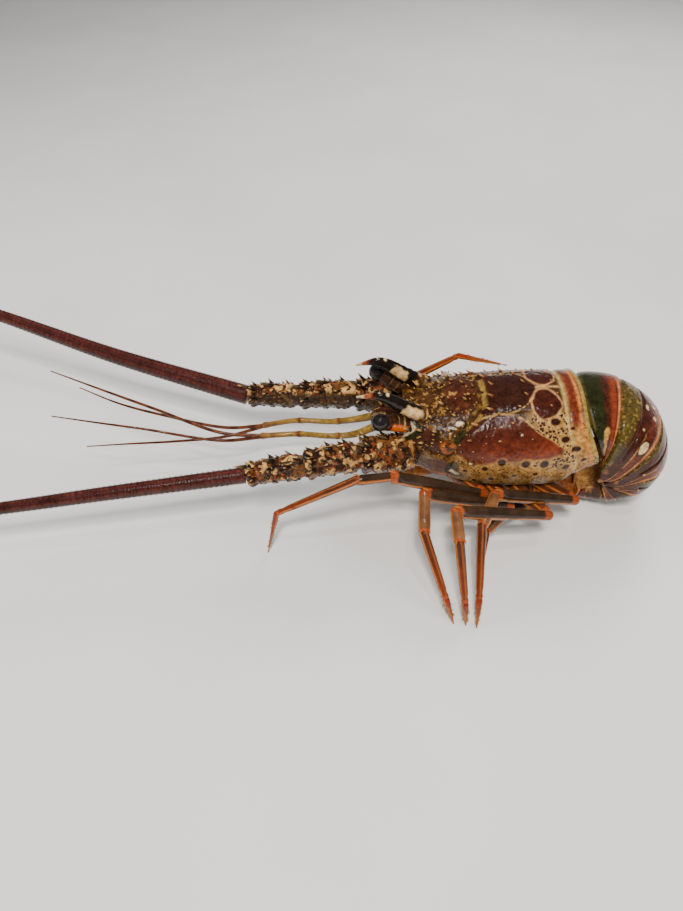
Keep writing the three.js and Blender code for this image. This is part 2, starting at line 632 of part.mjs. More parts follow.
for (const sideName of ['left', 'right']) {
  STALK_NAMES.forEach((name, piece) => {
    const core = (grow) => stalkPiece(sideName, piece, grow);
    place(`${name}_${sideName}`, CREAM, core, (grow) => stalkSpines(sideName, piece, grow));
  });
  for (let piece = 0; piece < 3; piece += 1) {
    place(`flagellum_${piece + 1}_${sideName}`, MAROON, (grow) => flagellumPiece(sideName, piece, grow));
  }
  place(`antennule_${sideName}`, CREAM, (grow) => antennule(sideName, grow));
}
place('mouth', CREAM, mouth);
place('maxilliped_left', ORANGE, (grow) => maxilliped(-1, grow));
place('maxilliped_right', ORANGE, (grow) => maxilliped(1, grow));
for (const name of Object.keys(LEG_POSES)) {
  place(`leg_${name}_upper`, SLATE, (grow) => legUpper(name, grow), (grow) => elbowSpine(name, grow));
  place(`leg_${name}_lower`, ORANGE, (grow) => legLower(name, grow));
}

// The floor: whatever would dip below it is cut to a small flat
const FLOOR_SIZE = 2000;
const slab = new THREE.BoxGeometry(FLOOR_SIZE, FLOOR_SIZE, FLOOR_SIZE);
slab.translate(0, 0, -FLOOR_SIZE / 2);
const floor = toSolid(slab);

// Two solids are neighbours when their boxes touch
function near(a, b) {
  const boxA = a.boundingBox();
  const boxB = b.boundingBox();
  return [0, 1, 2].every((k) => boxA.min[k] <= boxB.max[k] && boxB.min[k] <= boxA.max[k]);
}

// The largest closed surface of a solid, as a drawable geometry
function finished(solid) {
  const pieces = solid.decompose();
  pieces.sort((a, b) => b.volume() - a.volume());
  const mesh = pieces[0].getMesh();
  const geometry = new THREE.BufferGeometry();
  geometry.setAttribute('position', new THREE.BufferAttribute(new Float32Array(mesh.vertProperties), 3));
  geometry.setIndex(new THREE.BufferAttribute(new Uint32Array(mesh.triVerts), 1));
  geometry.computeVertexNormals();
  return geometry;
}

const grownCores = parts.map((part) => part.core(GAP));
const grownTrims = parts.map((part) => (part.trims ? part.trims(GAP) : null));
const lobster = new THREE.Group();
parts.forEach((part, i) => {
  let shape = part.core(0);
  for (let j = 0; j < i; j += 1) {
    const shells = part.name === 'carapace_rear' && parts[j].name === 'carapace_front';
    if (!shells && near(shape, grownCores[j])) shape = shape.subtract(grownCores[j]);
  }
  if (part.trims) {
    let trims = part.trims(0);
    for (let j = 0; j < parts.length; j += 1) {
      if (j !== i && near(trims, grownCores[j])) trims = trims.subtract(grownCores[j]);
    }
    shape = shape.add(trims);
  }
  for (let j = 0; j < i; j += 1) {
    if (grownTrims[j] && near(shape, grownTrims[j])) shape = shape.subtract(grownTrims[j]);
  }
  shape = shape.subtract(floor);
  const material = new THREE.MeshStandardMaterial({ color: part.colour, roughness: 0.4, metalness: 0 });
  const mesh = new THREE.Mesh(finished(shape), material);
  mesh.name = part.name;
  lobster.add(mesh);
});

export default lobster;
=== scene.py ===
import math

import bmesh
import bpy
import numpy as np
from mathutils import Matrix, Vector


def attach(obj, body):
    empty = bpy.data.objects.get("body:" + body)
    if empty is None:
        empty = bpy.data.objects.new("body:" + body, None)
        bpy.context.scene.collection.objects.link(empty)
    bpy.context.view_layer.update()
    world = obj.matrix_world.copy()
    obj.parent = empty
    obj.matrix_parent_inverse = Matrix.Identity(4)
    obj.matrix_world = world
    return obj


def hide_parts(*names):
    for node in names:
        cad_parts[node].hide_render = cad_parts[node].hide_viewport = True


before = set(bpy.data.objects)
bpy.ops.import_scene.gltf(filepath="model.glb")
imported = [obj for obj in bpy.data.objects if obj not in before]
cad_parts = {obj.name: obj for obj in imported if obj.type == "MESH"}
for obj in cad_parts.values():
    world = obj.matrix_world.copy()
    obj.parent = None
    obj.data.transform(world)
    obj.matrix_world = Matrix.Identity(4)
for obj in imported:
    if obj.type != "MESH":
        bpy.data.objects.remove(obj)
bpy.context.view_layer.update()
MM = 0.001

# ---------------------------------------------------------------- Camera, floor and lights
# The camera looks down over the left side. The floor is one pale sheet, and broad soft
# lamps hang over it, with small ones for the glints on the wet shell.
CAMERA_TARGET = Vector((-180, 0, 29)) * MM
CAMERA_DISTANCE = 0.48
CAMERA_ELEVATION = math.radians(49)
CAMERA_LENS = 26.2
camera_data = bpy.data.cameras.new("camera")
camera_data.lens = CAMERA_LENS
camera_data.clip_start = 0.01
camera = bpy.data.objects.new("camera", camera_data)
bpy.context.scene.collection.objects.link(camera)
camera_back = Vector((0, -math.cos(CAMERA_ELEVATION), math.sin(CAMERA_ELEVATION)))
camera.location = CAMERA_TARGET + camera_back * CAMERA_DISTANCE
camera.rotation_mode = "QUATERNION"
camera.rotation_quaternion = camera_back.to_track_quat("Z", "Y")
bpy.context.scene.camera = camera


def lamp(name, place, aim, size, power, glints, colour):
    """A square soft lamp that hangs at place and faces aim, and shows in wet shell or not."""
    data = bpy.data.lights.new(name, "AREA")
    data.size = size
    data.energy = power
    data.color = colour
    hung = bpy.data.objects.new(name, data)
    bpy.context.scene.collection.objects.link(hung)
    hung.location = place
    hung.visible_glossy = glints
    hung.rotation_mode = "QUATERNION"
    hung.rotation_quaternion = (Vector(place) - Vector(aim)).to_track_quat("Z", "Y")


HEAD_AIM, BODY_AIM = (-0.15, 0, 0.04), (-0.1, 0, 0.04)
WARM_LIGHT = (1, 0.97, 0.93)
# Name, place, aim, size in metres, power in watts, whether wet shell mirrors it, colour
for lamp_row in (
    ("key_lamp", (-0.22, -0.55, 1.05), BODY_AIM, 0.2, 13, False, (1, 0.95, 0.87)),
    ("glint_lamp", (-0.2, -0.5, 1.1), BODY_AIM, 0.045, 3.5, True, (1, 0.96, 0.9)),
    ("small_lamp", (-0.05, -0.2, 1.2), BODY_AIM, 0.04, 2, True, (1, 1, 1)),
    ("back_lamp", (0.3, 0.9, 0.9), HEAD_AIM, 0.5, 12, False, WARM_LIGHT),
    ("side_lamp", (0.8, -0.6, 0.6), HEAD_AIM, 0.5, 6, False, WARM_LIGHT),
    ("front_lamp", (-1.0, 0.1, 0.6), HEAD_AIM, 0.5, 5, False, (1, 1, 1)),
):
    lamp(*lamp_row)

world = bpy.data.worlds.new("studio")
world.use_nodes = True
world.node_tree.nodes["Background"].inputs["Color"].default_value = (0.9, 0.93, 1, 1)
world.node_tree.nodes["Background"].inputs["Strength"].default_value = 0.2
bpy.context.scene.world = world


class Value:
    """A number that varies over a surface; sums written with it add Math nodes."""

    def __init__(self, finish, socket):
        self.finish, self.socket = finish, socket

    def maths(self, operation, first, second):
        made = self.finish.node("ShaderNodeMath", {"operation": operation}, {0: first, 1: second})
        return Value(self.finish, made.outputs[0])

    def __add__(self, other):
        return self.maths("ADD", self, other)

    __radd__ = __add__

    def __sub__(self, other):
        return self.maths("SUBTRACT", self, other)

    def __rsub__(self, other):
        return self.maths("SUBTRACT", other, self)

    def __mul__(self, other):
        return self.maths("MULTIPLY", self, other)

    __rmul__ = __mul__

    def between(self, low, high):
        """A soft step: 0 at low and 1 at high."""
        made = self.finish.node(
            "ShaderNodeMapRange",
            {"interpolation_type": "SMOOTHSTEP"},
            {"Value": self, "From Min": low, "From Max": high},
        )
        return Value(self.finish, made.outputs["Result"])


class Finish:
    """One material in the making."""

    def __init__(self, name, **constants):
        self.material = bpy.data.materials.new(name)
        self.material.use_nodes = True
        self.tree = self.material.node_tree
        self.shader = self.tree.nodes["Principled BSDF"]
        self.spot = self.node("ShaderNodeTexCoord").outputs["Object"]
        for socket, value in constants.items():
            self.set(self.shader, socket.replace("_", " "), value)

    def set(self, node, socket, value):
        """Gives a socket its number, colour or link."""
        value = value.socket if isinstance(value, Value) else value
        if isinstance(value, bpy.types.NodeSocket):
            self.tree.links.new(value, node.inputs[socket])
        else:
            node.inputs[socket].default_value = value

    def node(self, kind, settings=None, sockets=None):
        """A node of a kind, with its settings and then its sockets."""
        made = self.tree.nodes.new(kind)
        for setting, value in (settings or {}).items():
            setattr(made, setting, value)
        for socket, value in (sockets or {}).items():
            self.set(made, socket, value)
        return made

    def noise(self, size, detail=3.0, rough=0.55):
        """Cloudy values about 0.5, with blobs of a size in mm."""
        made = self.node(
            "ShaderNodeTexNoise",
            {},
            {"Vector": self.spot, "Scale": 1 / (size * MM), "Detail": detail, "Roughness": rough},
        )
        return Value(self, made.outputs["Factor" if "Factor" in made.outputs else "Fac"])

    def cells(self, size):
        """Distance within packed cells of a size in mm."""
        made = self.node("ShaderNodeTexVoronoi", {}, {"Vector": self.spot, "Scale": 1 / (size * MM)})
        return Value(self, made.outputs["Distance"])

    def attribute(self, name):
        """What was painted on the piece under this name."""
        return self.node("ShaderNodeAttribute", {"attribute_name": name})

    def mixed(self, share, first, second, blend="MIX"):
        """Two colours mixed by a share."""
        made = self.node(
            "ShaderNodeMix",
            {"data_type": "RGBA", "blend_type": blend},
            {0: share, 6: first, 7: second},
        )
        return made.outputs[2]

    def bumped(self, height, depth):
        """Fine relief on the surface, depth in mm."""
        made = self.node("ShaderNodeBump", {}, {"Height": height, "Distance": depth * MM})
        self.set(self.shader, "Normal", made.outputs["Normal"])


FLOOR_SIZE = 8
FLOOR_GREYS = ((0.66, 0.65, 0.63, 1), (0.7, 0.69, 0.67, 1))
floor_finish = Finish("floor_matt", Roughness=0.75)
floor_tone = floor_finish.noise(180, detail=2).between(0.3, 0.7)
floor_finish.set(floor_finish.shader, "Base Color", floor_finish.mixed(floor_tone, *FLOOR_GREYS))
floor_form = bmesh.new()
bmesh.ops.create_grid(floor_form, x_segments=1, y_segments=1, size=FLOOR_SIZE / 2)
floor_mesh = bpy.data.meshes.new("floor")
floor_form.to_mesh(floor_mesh)
floor_form.free()
floor_mesh.materials.append(floor_finish.material)
floor = bpy.data.objects.new("floor", floor_mesh)
bpy.context.scene.collection.objects.link(floor)


# ---------------------------------------------------------------- Carapace
# The shell over head and breast, one stiff limy shield with a groove across its neck and a
# rolled rear rim. Moulded by the animal in one piece; every mark on it is in the shell.
CARAPACE_FRONT_X = -140
CARAPACE_CORNER_X = -14
CARAPACE_HALF_WIDTHS = [26, 33.5, 37.8, 39.7, 40, 39.3, 38]
CARAPACE_TOPS = [87.5, 90, 92.8, 95, 96.8, 96.8, 95.2]
CARAPACE_WAISTS = [69, 65, 62, 60.5, 60.5, 62.5, 69]
CARAPACE_EDGES = [54, 47.5, 44, 42, 42, 45, 61]
CARAPACE_BELLIES = [50, 44.5, 40.3, 40.3, 40.3, 40.3, 46]
CARAPACE_HEART_Z = 66
# A section runs from 0 on the back to 1 under the belly: its arch ends, then its side wall
ARCH_END, WALL_END = 0.6, 0.8
ARCH_POWER, EDGE_SHARE = 0.97, 0.93
ABOVE_SHARE = 0.87
ROUND_MM = 125


def smooth(x, low, high):
    """A soft step: 0 at low and 1 at high."""
    f = np.clip((x - low) / (high - low), 0, 1)
    return f * f * (3 - 2 * f)


def wane(x, low, high):
    """A soft step down: 1 at low and 0 at high."""
    return 1 - smooth(x, low, high)


def plateau(x, start, full, waning, end):
    """1 from full to waning, and softly down to 0 at start and end."""
    return smooth(x, start, full) * wane(x, waning, end)


def bump(x):
    """A soft peak: 1 at 0, falling away over 1."""
    return np.exp(-x * x)


def peak(x, middle, width):
    """A soft peak: 1 at middle, falling away over a width."""
    return bump((x - middle) / width)


def run(values, t):
    """A size that runs smoothly through evenly spaced values."""
    values = np.asarray(values, float)
    last = len(values) - 1
    place = np.clip(t, 0, 1) * last
    cell = np.minimum(place.astype(int), last - 1)
    f = place - cell
    before, here = values[np.maximum(cell - 1, 0)], values[cell]
    after, beyond = values[cell + 1], values[np.minimum(cell + 2, last)]
    slope, next_slope = (after - before) / 2, (beyond - here) / 2
    bend = 2 * (here - after) + slope + next_slope
    lean = 3 * (after - here) - 2 * slope - next_slope
    return ((bend * f + lean) * f + slope) * f + here


# Large odd numbers that scramble a cell's place into a random value
GRAIN_STEPS, GRAIN_MASK = (73856093, 19349663, 83492791), 0x7FFFFFFF


def grain(points, size, seed=0):
    """Smooth random values from -1 to 1, in blobs of a size in mm."""
    place = points / size
    cell = np.floor(place).astype(np.int64)
    f = place - cell
    f = f * f * (3 - 2 * f)
    total = 0
    for corner in np.ndindex(2, 2, 2):
        key = (cell + corner) * GRAIN_STEPS
        mixed = key[:, 0] ^ key[:, 1] ^ key[:, 2] ^ (seed * 40503 + 977)
        mixed = (mixed ^ (mixed >> 13)) * 1274126177 & GRAIN_MASK
        mixed = ((mixed ^ (mixed >> 11)) * 668265263 & GRAIN_MASK) / GRAIN_MASK
        share = np.prod(np.where(corner, f, 1 - f), axis=1)
        total = total + share * mixed
    return 2 * total - 1


class Paint:
    """Colours laid one over another at a piece's points."""

    def __init__(self, points, ground, cloud=0, size=5, seed=0):
        self.points = points
        self.tint = np.broadcast_to(ground, points.shape) * (1 + cloud * grain(points, size, seed)[:, None])

    def lay(self, colour, share):
        """Lays a colour over what's painted so far."""
        share = np.clip(share, 0, 1)[:, None]
        self.tint = self.tint * (1 - share) + np.array(colour) * share

    def blots(self, size, seed, low, high):
        """Where soft blots of a size in mm lie."""
        return smooth(grain(self.points, size, seed), low, high)


SEAM_GAP = 1e-6


class Piece:
    """One piece as it's put together, with a colour and a marking painted at each point."""

    def __init__(self):
        self.form = bmesh.new()
        self.tint = self.form.verts.layers.float_color.new("tint")
        self.mark = self.form.verts.layers.float.new("mark")

    def dress(self, verts, points, tints, marks):
        """Moves points to their place and paints them."""
        colours = np.column_stack([tints, np.ones(len(points))]).tolist()
        for vert, point, colour, mark in zip(verts, (points * MM).tolist(), colours, marks.tolist()):
            vert.co = point
            vert[self.tint] = colour
            vert[self.mark] = mark

    def shell(self, rings, sides, place, paint):
        """A closed skin: a grid wrapped round, joined at its seam and closed at both ends."""
        made = bmesh.ops.create_grid(self.form, x_segments=rings, y_segments=sides, size=0.5)
        spots = np.array([vert.co for vert in made["verts"]])
        t, a = spots[:, 0] + 0.5, spots[:, 1] + 0.5
        points = place(t, a)
        points[:, 2] = np.maximum(points[:, 2], 0)
        tints, marks = paint(t, a, points)
        tints = np.broadcast_to(tints, points.shape).clip(0, 1)
        self.dress(made["verts"], points, tints, np.broadcast_to(marks, t.shape))
        bmesh.ops.remove_doubles(self.form, verts=made["verts"], dist=SEAM_GAP)

    def add(self, mesh):
        """Takes in a mesh that's already shaped and painted."""
        self.form.from_mesh(mesh)
        bpy.data.meshes.remove(mesh)

    def finish(self, name, finish, slot, nodes=None):
        """Closes the piece, gives it its material and sets it in the frame; it takes the
        place of the solids in nodes, or of the one of its own name."""
        bmesh.ops.recalc_face_normals(self.form, faces=self.form.faces)
        mesh = bpy.data.meshes.new(name)
        self.form.to_mesh(mesh)
        self.form.free()
        mesh.shade_smooth()
        mesh.materials.append(finish.material)
        piece = bpy.data.objects.new(name, mesh)
        bpy.context.scene.collection.objects.link(piece)
        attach(piece, "root")
        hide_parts(*([name] if nodes is None else nodes))


def arched(s, half, top, waist, edge, belly):
    """One arched section: the back, the side wall down to its edge, and the underside."""
    turn = np.minimum(s / ARCH_END, 1) * math.pi / 2
    out = half * np.sin(turn) ** ARCH_POWER
    up = waist + (top - waist) * np.cos(turn).clip(0) ** ARCH_POWER
    wall = ((s - ARCH_END) / (WALL_END - ARCH_END)).clip(0, 1)
    out = np.where(s > ARCH_END, half * (1 - (1 - EDGE_SHARE) * wall**2), out)
    up = np.where(s > ARCH_END, waist + (edge - waist) * wall, up)
    under = ((s - WALL_END) / (1 - WALL_END)).clip(0, 1)
    out = np.where(s > WALL_END, half * EDGE_SHARE * (1 - under), out)
    return out, np.where(s > WALL_END, edge + (belly - edge) * np.sin(under * math.pi / 2), up)


def roundness(a):
    """How far round a section a point lies: 0 on the back, 1 under the belly; finer above."""
    s = 2 * np.minimum(a, 1 - a)
    below = (s - ABOVE_SHARE) / (1 - ABOVE_SHARE)
    return np.where(s < ABOVE_SHARE, s * WALL_END / ABOVE_SHARE, WALL_END + below * (1 - WALL_END))


def groove_x(s):
    """Where the groove across the neck runs."""
    return -88 - 17 * smooth(s, 0.1, 0.42) - 3 * s


def rim_x(s):
    """Where the shield ends behind."""
    return -24 + 10 * smooth(s, 0.2, 0.7)


def margin_x(s):
    """The front margin: drawn back round each eye, forward beside it."""
    return CARAPACE_FRONT_X + 5 * peak(s, 0.34, 0.07) - 2.5 * peak(s, 0.5, 0.05)


# Low warts on the shield: the ranges of their places along and round it, and their radii
tubercle_random = np.random.default_rng(11)
TUBERCLE_COUNT, TUBERCLE_HEIGHT = 240, 0.26
TUBERCLE_RANGES = ((-136, -42), (0.02, 0.62), (0.7, 1.5))
TUBERCLES = np.column_stack([
    tubercle_random.uniform(low, high, TUBERCLE_COUNT) for low, high in TUBERCLE_RANGES
])


def carapace_relief(x, s):
    """How far the shell stands out from its plain arch."""
    neck, rim = x - groove_x(s), x - rim_x(s)
    lift = -1.5 * bump(neck / 3.6) - 0.8 * bump(neck / 1.1)
    lift -= 0.8 * peak(rim, -13, 2) + 0.5 * peak(rim, -13, 0.8)
    lift += 0.5 * peak(rim, -2.5, 2.2)
    back = plateau(x, -86, -78, -58, -50)
    lift -= 0.45 * back * bump((s - 0.17) * ROUND_MM / 1.8)
    lift += 0.9 * peak(x, -114, 9) * peak(s, 0.43, 0.1)
    lift += 0.7 * bump((x - margin_x(s)) / 2.0)
    for at, share, size in TUBERCLES:
        around = np.abs(x - at) < 4
        d2 = (x[around] - at) ** 2 + ((s[around] - share) * ROUND_MM) ** 2
        lift[around] += TUBERCLE_HEIGHT * size * np.exp(-d2 / (0.55 * size) ** 2)
    return np.where(s < WALL_END, lift, 0)


def carapace_point(x, s, side):
    """A point of the shield: x along it, s round it, and the side it's on."""
    t = (x - CARAPACE_FRONT_X) / (CARAPACE_CORNER_X - CARAPACE_FRONT_X)
    lift = carapace_relief(x, s)
    out, up = arched(
        s,
        run(CARAPACE_HALF_WIDTHS, t) + lift,
        run(CARAPACE_TOPS, t) + lift,
        run(CARAPACE_WAISTS, t),
        run(CARAPACE_EDGES, t),
        run(CARAPACE_BELLIES, t),
    )
    return np.column_stack([x, side * out, up])


END_SHARE = 0.05
FRONT_RECESS, REAR_RECESS = 5, 6


def inside_ends(t, share=END_SHARE):
    """Runs from 0 to 1 over a grid, less the share at each end that closes it."""
    return ((t - share) / (1 - 2 * share)).clip(0, 1)


def closed_ends(t, share=END_SHARE):
    """Rounds a grid down to nothing at both ends."""
    return np.sin(np.minimum(t, 1 - t).clip(0, share) / share * math.pi / 2)


def carapace_place(t, a):
    s, side = roundness(a), np.where(a < 0.5, 1, -1)
    x = margin_x(s) + (rim_x(s) - margin_x(s)) * inside_ends(t)
    points = carapace_point(x, s, side)
    for end, inwards in ((t / END_SHARE, FRONT_RECESS), ((1 - t) / END_SHARE, -REAR_RECESS)):
        f = end.clip(0, 1)[:, None]
        heart = np.column_stack([np.full(len(x), x[end < 1e-9].mean()), x * 0, x * 0 + CARAPACE_HEART_Z])
        points = heart + (points - heart) * f**0.7
        points[:, 0] += inwards * (1 - f[:, 0] ** 3)
    return points


MAROON = (0.085, 0.022, 0.014)
RED = (0.2, 0.044, 0.022)
OLIVE = (0.065, 0.032, 0.011)
TAN = (0.52, 0.33, 0.13)
CREAM = (0.74, 0.55, 0.27)
WHITE = (0.9, 0.84, 0.62)
GREEN = (0.022, 0.03, 0.008)
BLACK = (0.012, 0.009, 0.008)

# Edges of the large dark patch on each flank, from its front tip to its rear one
PATCH_FROM, PATCH_TO = -105.5, -39
PATCH_TOPS = [0.4, 0.27, 0.205, 0.19, 0.225, 0.3, 0.37, 0.44]
PATCH_FEET = [0.52, 0.575, 0.56, 0.54, 0.525, 0.52, 0.515, 0.5]
# Dark eyelets low on the flank and along the rear: place along, place round, radius
EYELETS = [
    (-87, 0.604, 2.2), (-77, 0.535, 2.8), (-61.5, 0.545, 2.9), (-49.5, 0.552, 3.1), (-35, 0.596, 2.5),
    (-91.5, 0.764, 1.8), (-81, 0.72, 2.0), (-67, 0.664, 1.8), (-53.5, 0.648, 1.8), (-25, 0.56, 1.9),
    (-45, 0.252, 3.4), (-38.5, 0.372, 3.0), (-31, 0.452, 3.2), (-99, 0.66, 1.6), (-34, 0.3, 1.6),
]
# White marks: place along, place round, radius, and how much longer than wide
WHITE_MARKS = [
    (-104.5, 0.256, 3.0, 1), (-105.5, 0.724, 3.2, 1.2), (-96.5, 0.572, 1.5, 1), (-66, 0.33, 0.9, 1),
]


def carapace_paint(t, a, points):
    s = roundness(a)
    x = points[:, 0]
    wander = grain(points, 7, 1) * 1.2 + grain(points, 2.6, 2) * 0.5
    xw, sw = x + wander, s + grain(points, 6, 3) * 0.011
    neck, rim, front = x - groove_x(s), x - rim_x(s), x - margin_x(s)
    clouds, flecks = grain(points, 9, 4), grain(points, 1.6, 5)
    coat = Paint(points, OLIVE, 0.35, 9, 4)

    # Head part: maroon in the middle, olive and yellow round it, orange cheeks
    coat.lay((0.3, 0.18, 0.045), smooth(grain(points, 4, 6) + 0.5 * flecks, 0.3, 0.7) * (neck < 0) * 0.75)
    middle = peak(xw, -103, 12) * bump(sw / 0.19)
    coat.lay((0.085, 0.022, 0.016), smooth(middle, 0.3, 0.65) * (neck < 0) * 0.85)
    coat.lay((0.07, 0.022, 0.015), smooth(peak(xw, -127, 9) * peak(sw, 0.42, 0.13), 0.3, 0.6) * 0.8)
    gold = smooth(grain(points, 1.5, 22) + 0.4 * clouds, 0.45, 0.8) * (neck < 0) * wane(s, 0.5, 0.6)
    coat.lay((0.6, 0.4, 0.14), gold * (0.25 + 0.5 * smooth(clouds, -0.2, 0.5)))
    cheek = peak(xw, -112, 6.5) * peak(sw, 0.45, 0.07)
    coat.lay((0.46, 0.13, 0.03), smooth(cheek, 0.35, 0.7) * smooth(flecks, -0.7, 0.1))
    low_cheek = np.hypot((xw + 115) / 13, (sw - 0.685) / 0.085)
    coat.lay((0.13, 0.045, 0.03), wane(low_cheek, 0.8, 1.0) * 0.9)
    coat.lay((0.4, 0.32, 0.2), peak(low_cheek, 0.95, 0.1) * (sw < 0.66) * smooth(flecks, -0.6, 0.2) * 0.6)
    coat.lay((0.62, 0.25, 0.06), peak(low_cheek, 0.98, 0.14) * smooth(xw + 115 + 40 * (sw - 0.66), 0, 4))
    cheek_line = plateau(sw, 0.52, 0.56, 0.58, 0.62) * (neck < 0)
    coat.lay((0.45, 0.26, 0.07), cheek_line * smooth(flecks, -0.6, 0.3) * 0.7)
    coat.lay((0.42, 0.14, 0.04), smooth(peak(sw, 0.785, 0.02), 0.3, 0.7) * (neck < 0) * 0.8)

    # Body part: cream net over tan, big dark patches edged with pale lines
    body = smooth(neck, -1, 1.5)
    coat.lay(TAN, body * smooth(sw, 0.44, 0.52))
    coat.lay((0.18, 0.13, 0.045), body * smooth(sw, 0.66, 0.8) * 0.8)
    coat.lay((0.16, 0.07, 0.025), coat.blots(1.3, 21, 0.3, 0.7) * smooth(sw, 0.5, 0.56) * 0.5)
    net = body * smooth(x, -66, -56) * plateau(sw, 0.17, 0.21, 0.56, 0.66)
    coat.lay((0.62, 0.43, 0.18), net * (0.72 + 0.28 * smooth(flecks, -0.4, 0.4)))
    f = (xw - PATCH_FROM) / (PATCH_TO - PATCH_FROM)
    top, foot = run(PATCH_TOPS, f), run(PATCH_FEET, f)
    inside = np.minimum(sw - top, foot - sw) * ROUND_MM
    inside = np.minimum(inside, np.minimum(xw - PATCH_FROM, PATCH_TO - xw))
    redness = smooth(sw * ROUND_MM + 0.35 * x, 8, 40)[:, None]
    upper_edge = (sw - top) * ROUND_MM
    edge_line = peak(upper_edge, -1.2, 0.9) * (x < -58) * (f > 0.18) * smooth(flecks, -0.8, 0.2)
    flank = np.array(MAROON) * (1 - redness) + np.array(RED) * redness
    faded_foot = smooth((foot - sw) * ROUND_MM, -1.5, 3.5)
    soft_foot = smooth(inside, -0.8, 0.8) * np.where(foot - sw < sw - top, faded_foot, 1)
    coat.lay(flank * (1 + 0.35 * clouds[:, None]), soft_foot * body)
    coat.lay(CREAM, edge_line * body * 0.85)

    wedge = 0.172 * np.sqrt(np.clip((-54 - xw) / 14, 0, 1))
    ahead_of = smooth(neck, 2.5, 4)
    median = (wedge - sw) * ROUND_MM
    coat.lay(CREAM, ahead_of * peak(median, -0.3, 0.7) * (x < -52) * smooth(flecks + 0.2 * clouds, -0.5, 0.2))
    coat.lay((0.045, 0.015, 0.01), ahead_of * smooth(median, 0.4, 1.6) * (x < -54.5))
    oval = np.hypot((xw + 49.5) / 9.2, (sw - 0.128) * ROUND_MM / 13.6)
    coat.lay((0.72, 0.42, 0.24), body * peak(oval, 1.04, 0.07) * (s < 0.26))
    coat.lay((0.065, 0.017, 0.011), body * wane(oval, 0.9, 1.0) * (s > 0.008))
    coat.lay(CREAM, bump(s * ROUND_MM / 1.0) * plateau(x, -55, -52, -40, -37))

    # Groove band, in yellow, with dark stops
    band = bump((neck - 0.5) / (2.6 - 1.2 * smooth(s, 0.1, 0.3)))
    coat.lay((0.36, 0.26, 0.08), smooth(band + 0.2 * flecks, 0.45, 0.9) * wane(s, 0.36, 0.46))
    stops = peak(x, -89.5, 2.6) * bump(s / 0.014) + peak(x, -87, 4.5) * peak(s, 0.165, 0.03)
    coat.lay((0.04, 0.012, 0.01), smooth(stops, 0.3, 0.55))
    coat.lay(GREEN, smooth(peak(neck, -0.5, 3.4) * peak(sw, 0.36, 0.08), 0.3, 0.6) * 0.9)
    coat.lay(GREEN, smooth(bump(neck / 5) * peak(sw, 0.69, 0.1), 0.3, 0.6) * 0.85)

    # Rolled rear rim: pale line, red-brown band, orange line and yellow edge
    on_rim = smooth(rim, -14.6, -13.6)
    down = smooth(s, 0.24, 0.36)[:, None]
    rim_band = np.array((0.19, 0.04, 0.02)) * (1 - down) + np.array((0.6, 0.36, 0.12)) * down
    coat.lay(rim_band * (1 + 0.4 * flecks[:, None]), on_rim)
    coat.lay((0.72, 0.6, 0.28), peak(rim, -13.2, 1.5))
    coat.lay((0.74, 0.34, 0.12), peak(rim, -4.6, 1.1))
    coat.lay((0.42, 0.36, 0.12), smooth(rim, -3.4, -2.2))

    # Eyelets with pale edges, then the white marks with black ones
    nearest = np.full(len(x), 9.0)
    for at, share, size in EYELETS:
        d = np.hypot(x - at, (s - share) * ROUND_MM / (1 + 0.35 * (share > 0.5))) / size
        coat.lay((0.6, 0.4, 0.16), peak(d, 1.25, 0.25) * 0.5)
        coat.lay((0.04, 0.015, 0.01), wane(d, 0.75, 1.1))
        nearest = np.minimum(nearest, d)
    for at, share, size, stretch in WHITE_MARKS:
        d = np.hypot((x - at) / stretch, (s - share) * ROUND_MM) / size
        coat.lay(BLACK, wane(d, 1.3, 1.8) * 0.85)
        coat.lay(WHITE, wane(d, 0.8, 1.0))

    # Front margin: white edge of the orbit with a black band behind it, orange beside it
    orbit = plateau(s, 0.2, 0.26, 0.46, 0.52)
    coat.lay(GREEN, orbit * wane(front, 6, 9) * 0.9)
    coat.lay((0.6, 0.56, 0.45), orbit * wane(front, 2.2, 3.2))
    cheek_edge = plateau(s, 0.5, 0.56, 0.76, 0.8)
    coat.lay((0.62, 0.32, 0.06), cheek_edge * wane(front, 3, 6))

    # Inside and underside, pale
    coat.lay((0.6, 0.42, 0.22), smooth(s, 0.79, 0.83))
    hidden = (t < END_SHARE) | (t > 1 - END_SHARE)
    coat.lay((0.2, 0.1, 0.05), hidden * 0.9)
    clear = smooth(inside, -1.5, 0.5)
    marks = 0.92 * net * (1 - clear) * (oval > 1.12) * (rim < -14)
    marks = np.maximum(marks, 0.58 * body * plateau(s, 0.47, 0.55, 0.77, 0.8) * (1 - clear))
    marks = np.maximum(marks, 0.45 * on_rim * wane(s, 0.76, 0.8))
    marks = np.maximum(marks, 0.4 * (neck < 0) * (s < 0.78)) * smooth(nearest, 1.2, 1.8)
    return coat.tint, marks


SHELL_TONES = ((0.16, 0.1, 0.065, 1), (0.98, 0.79, 0.56, 1))
PORE_BROWN = (0.022, 0.009, 0.006, 1)


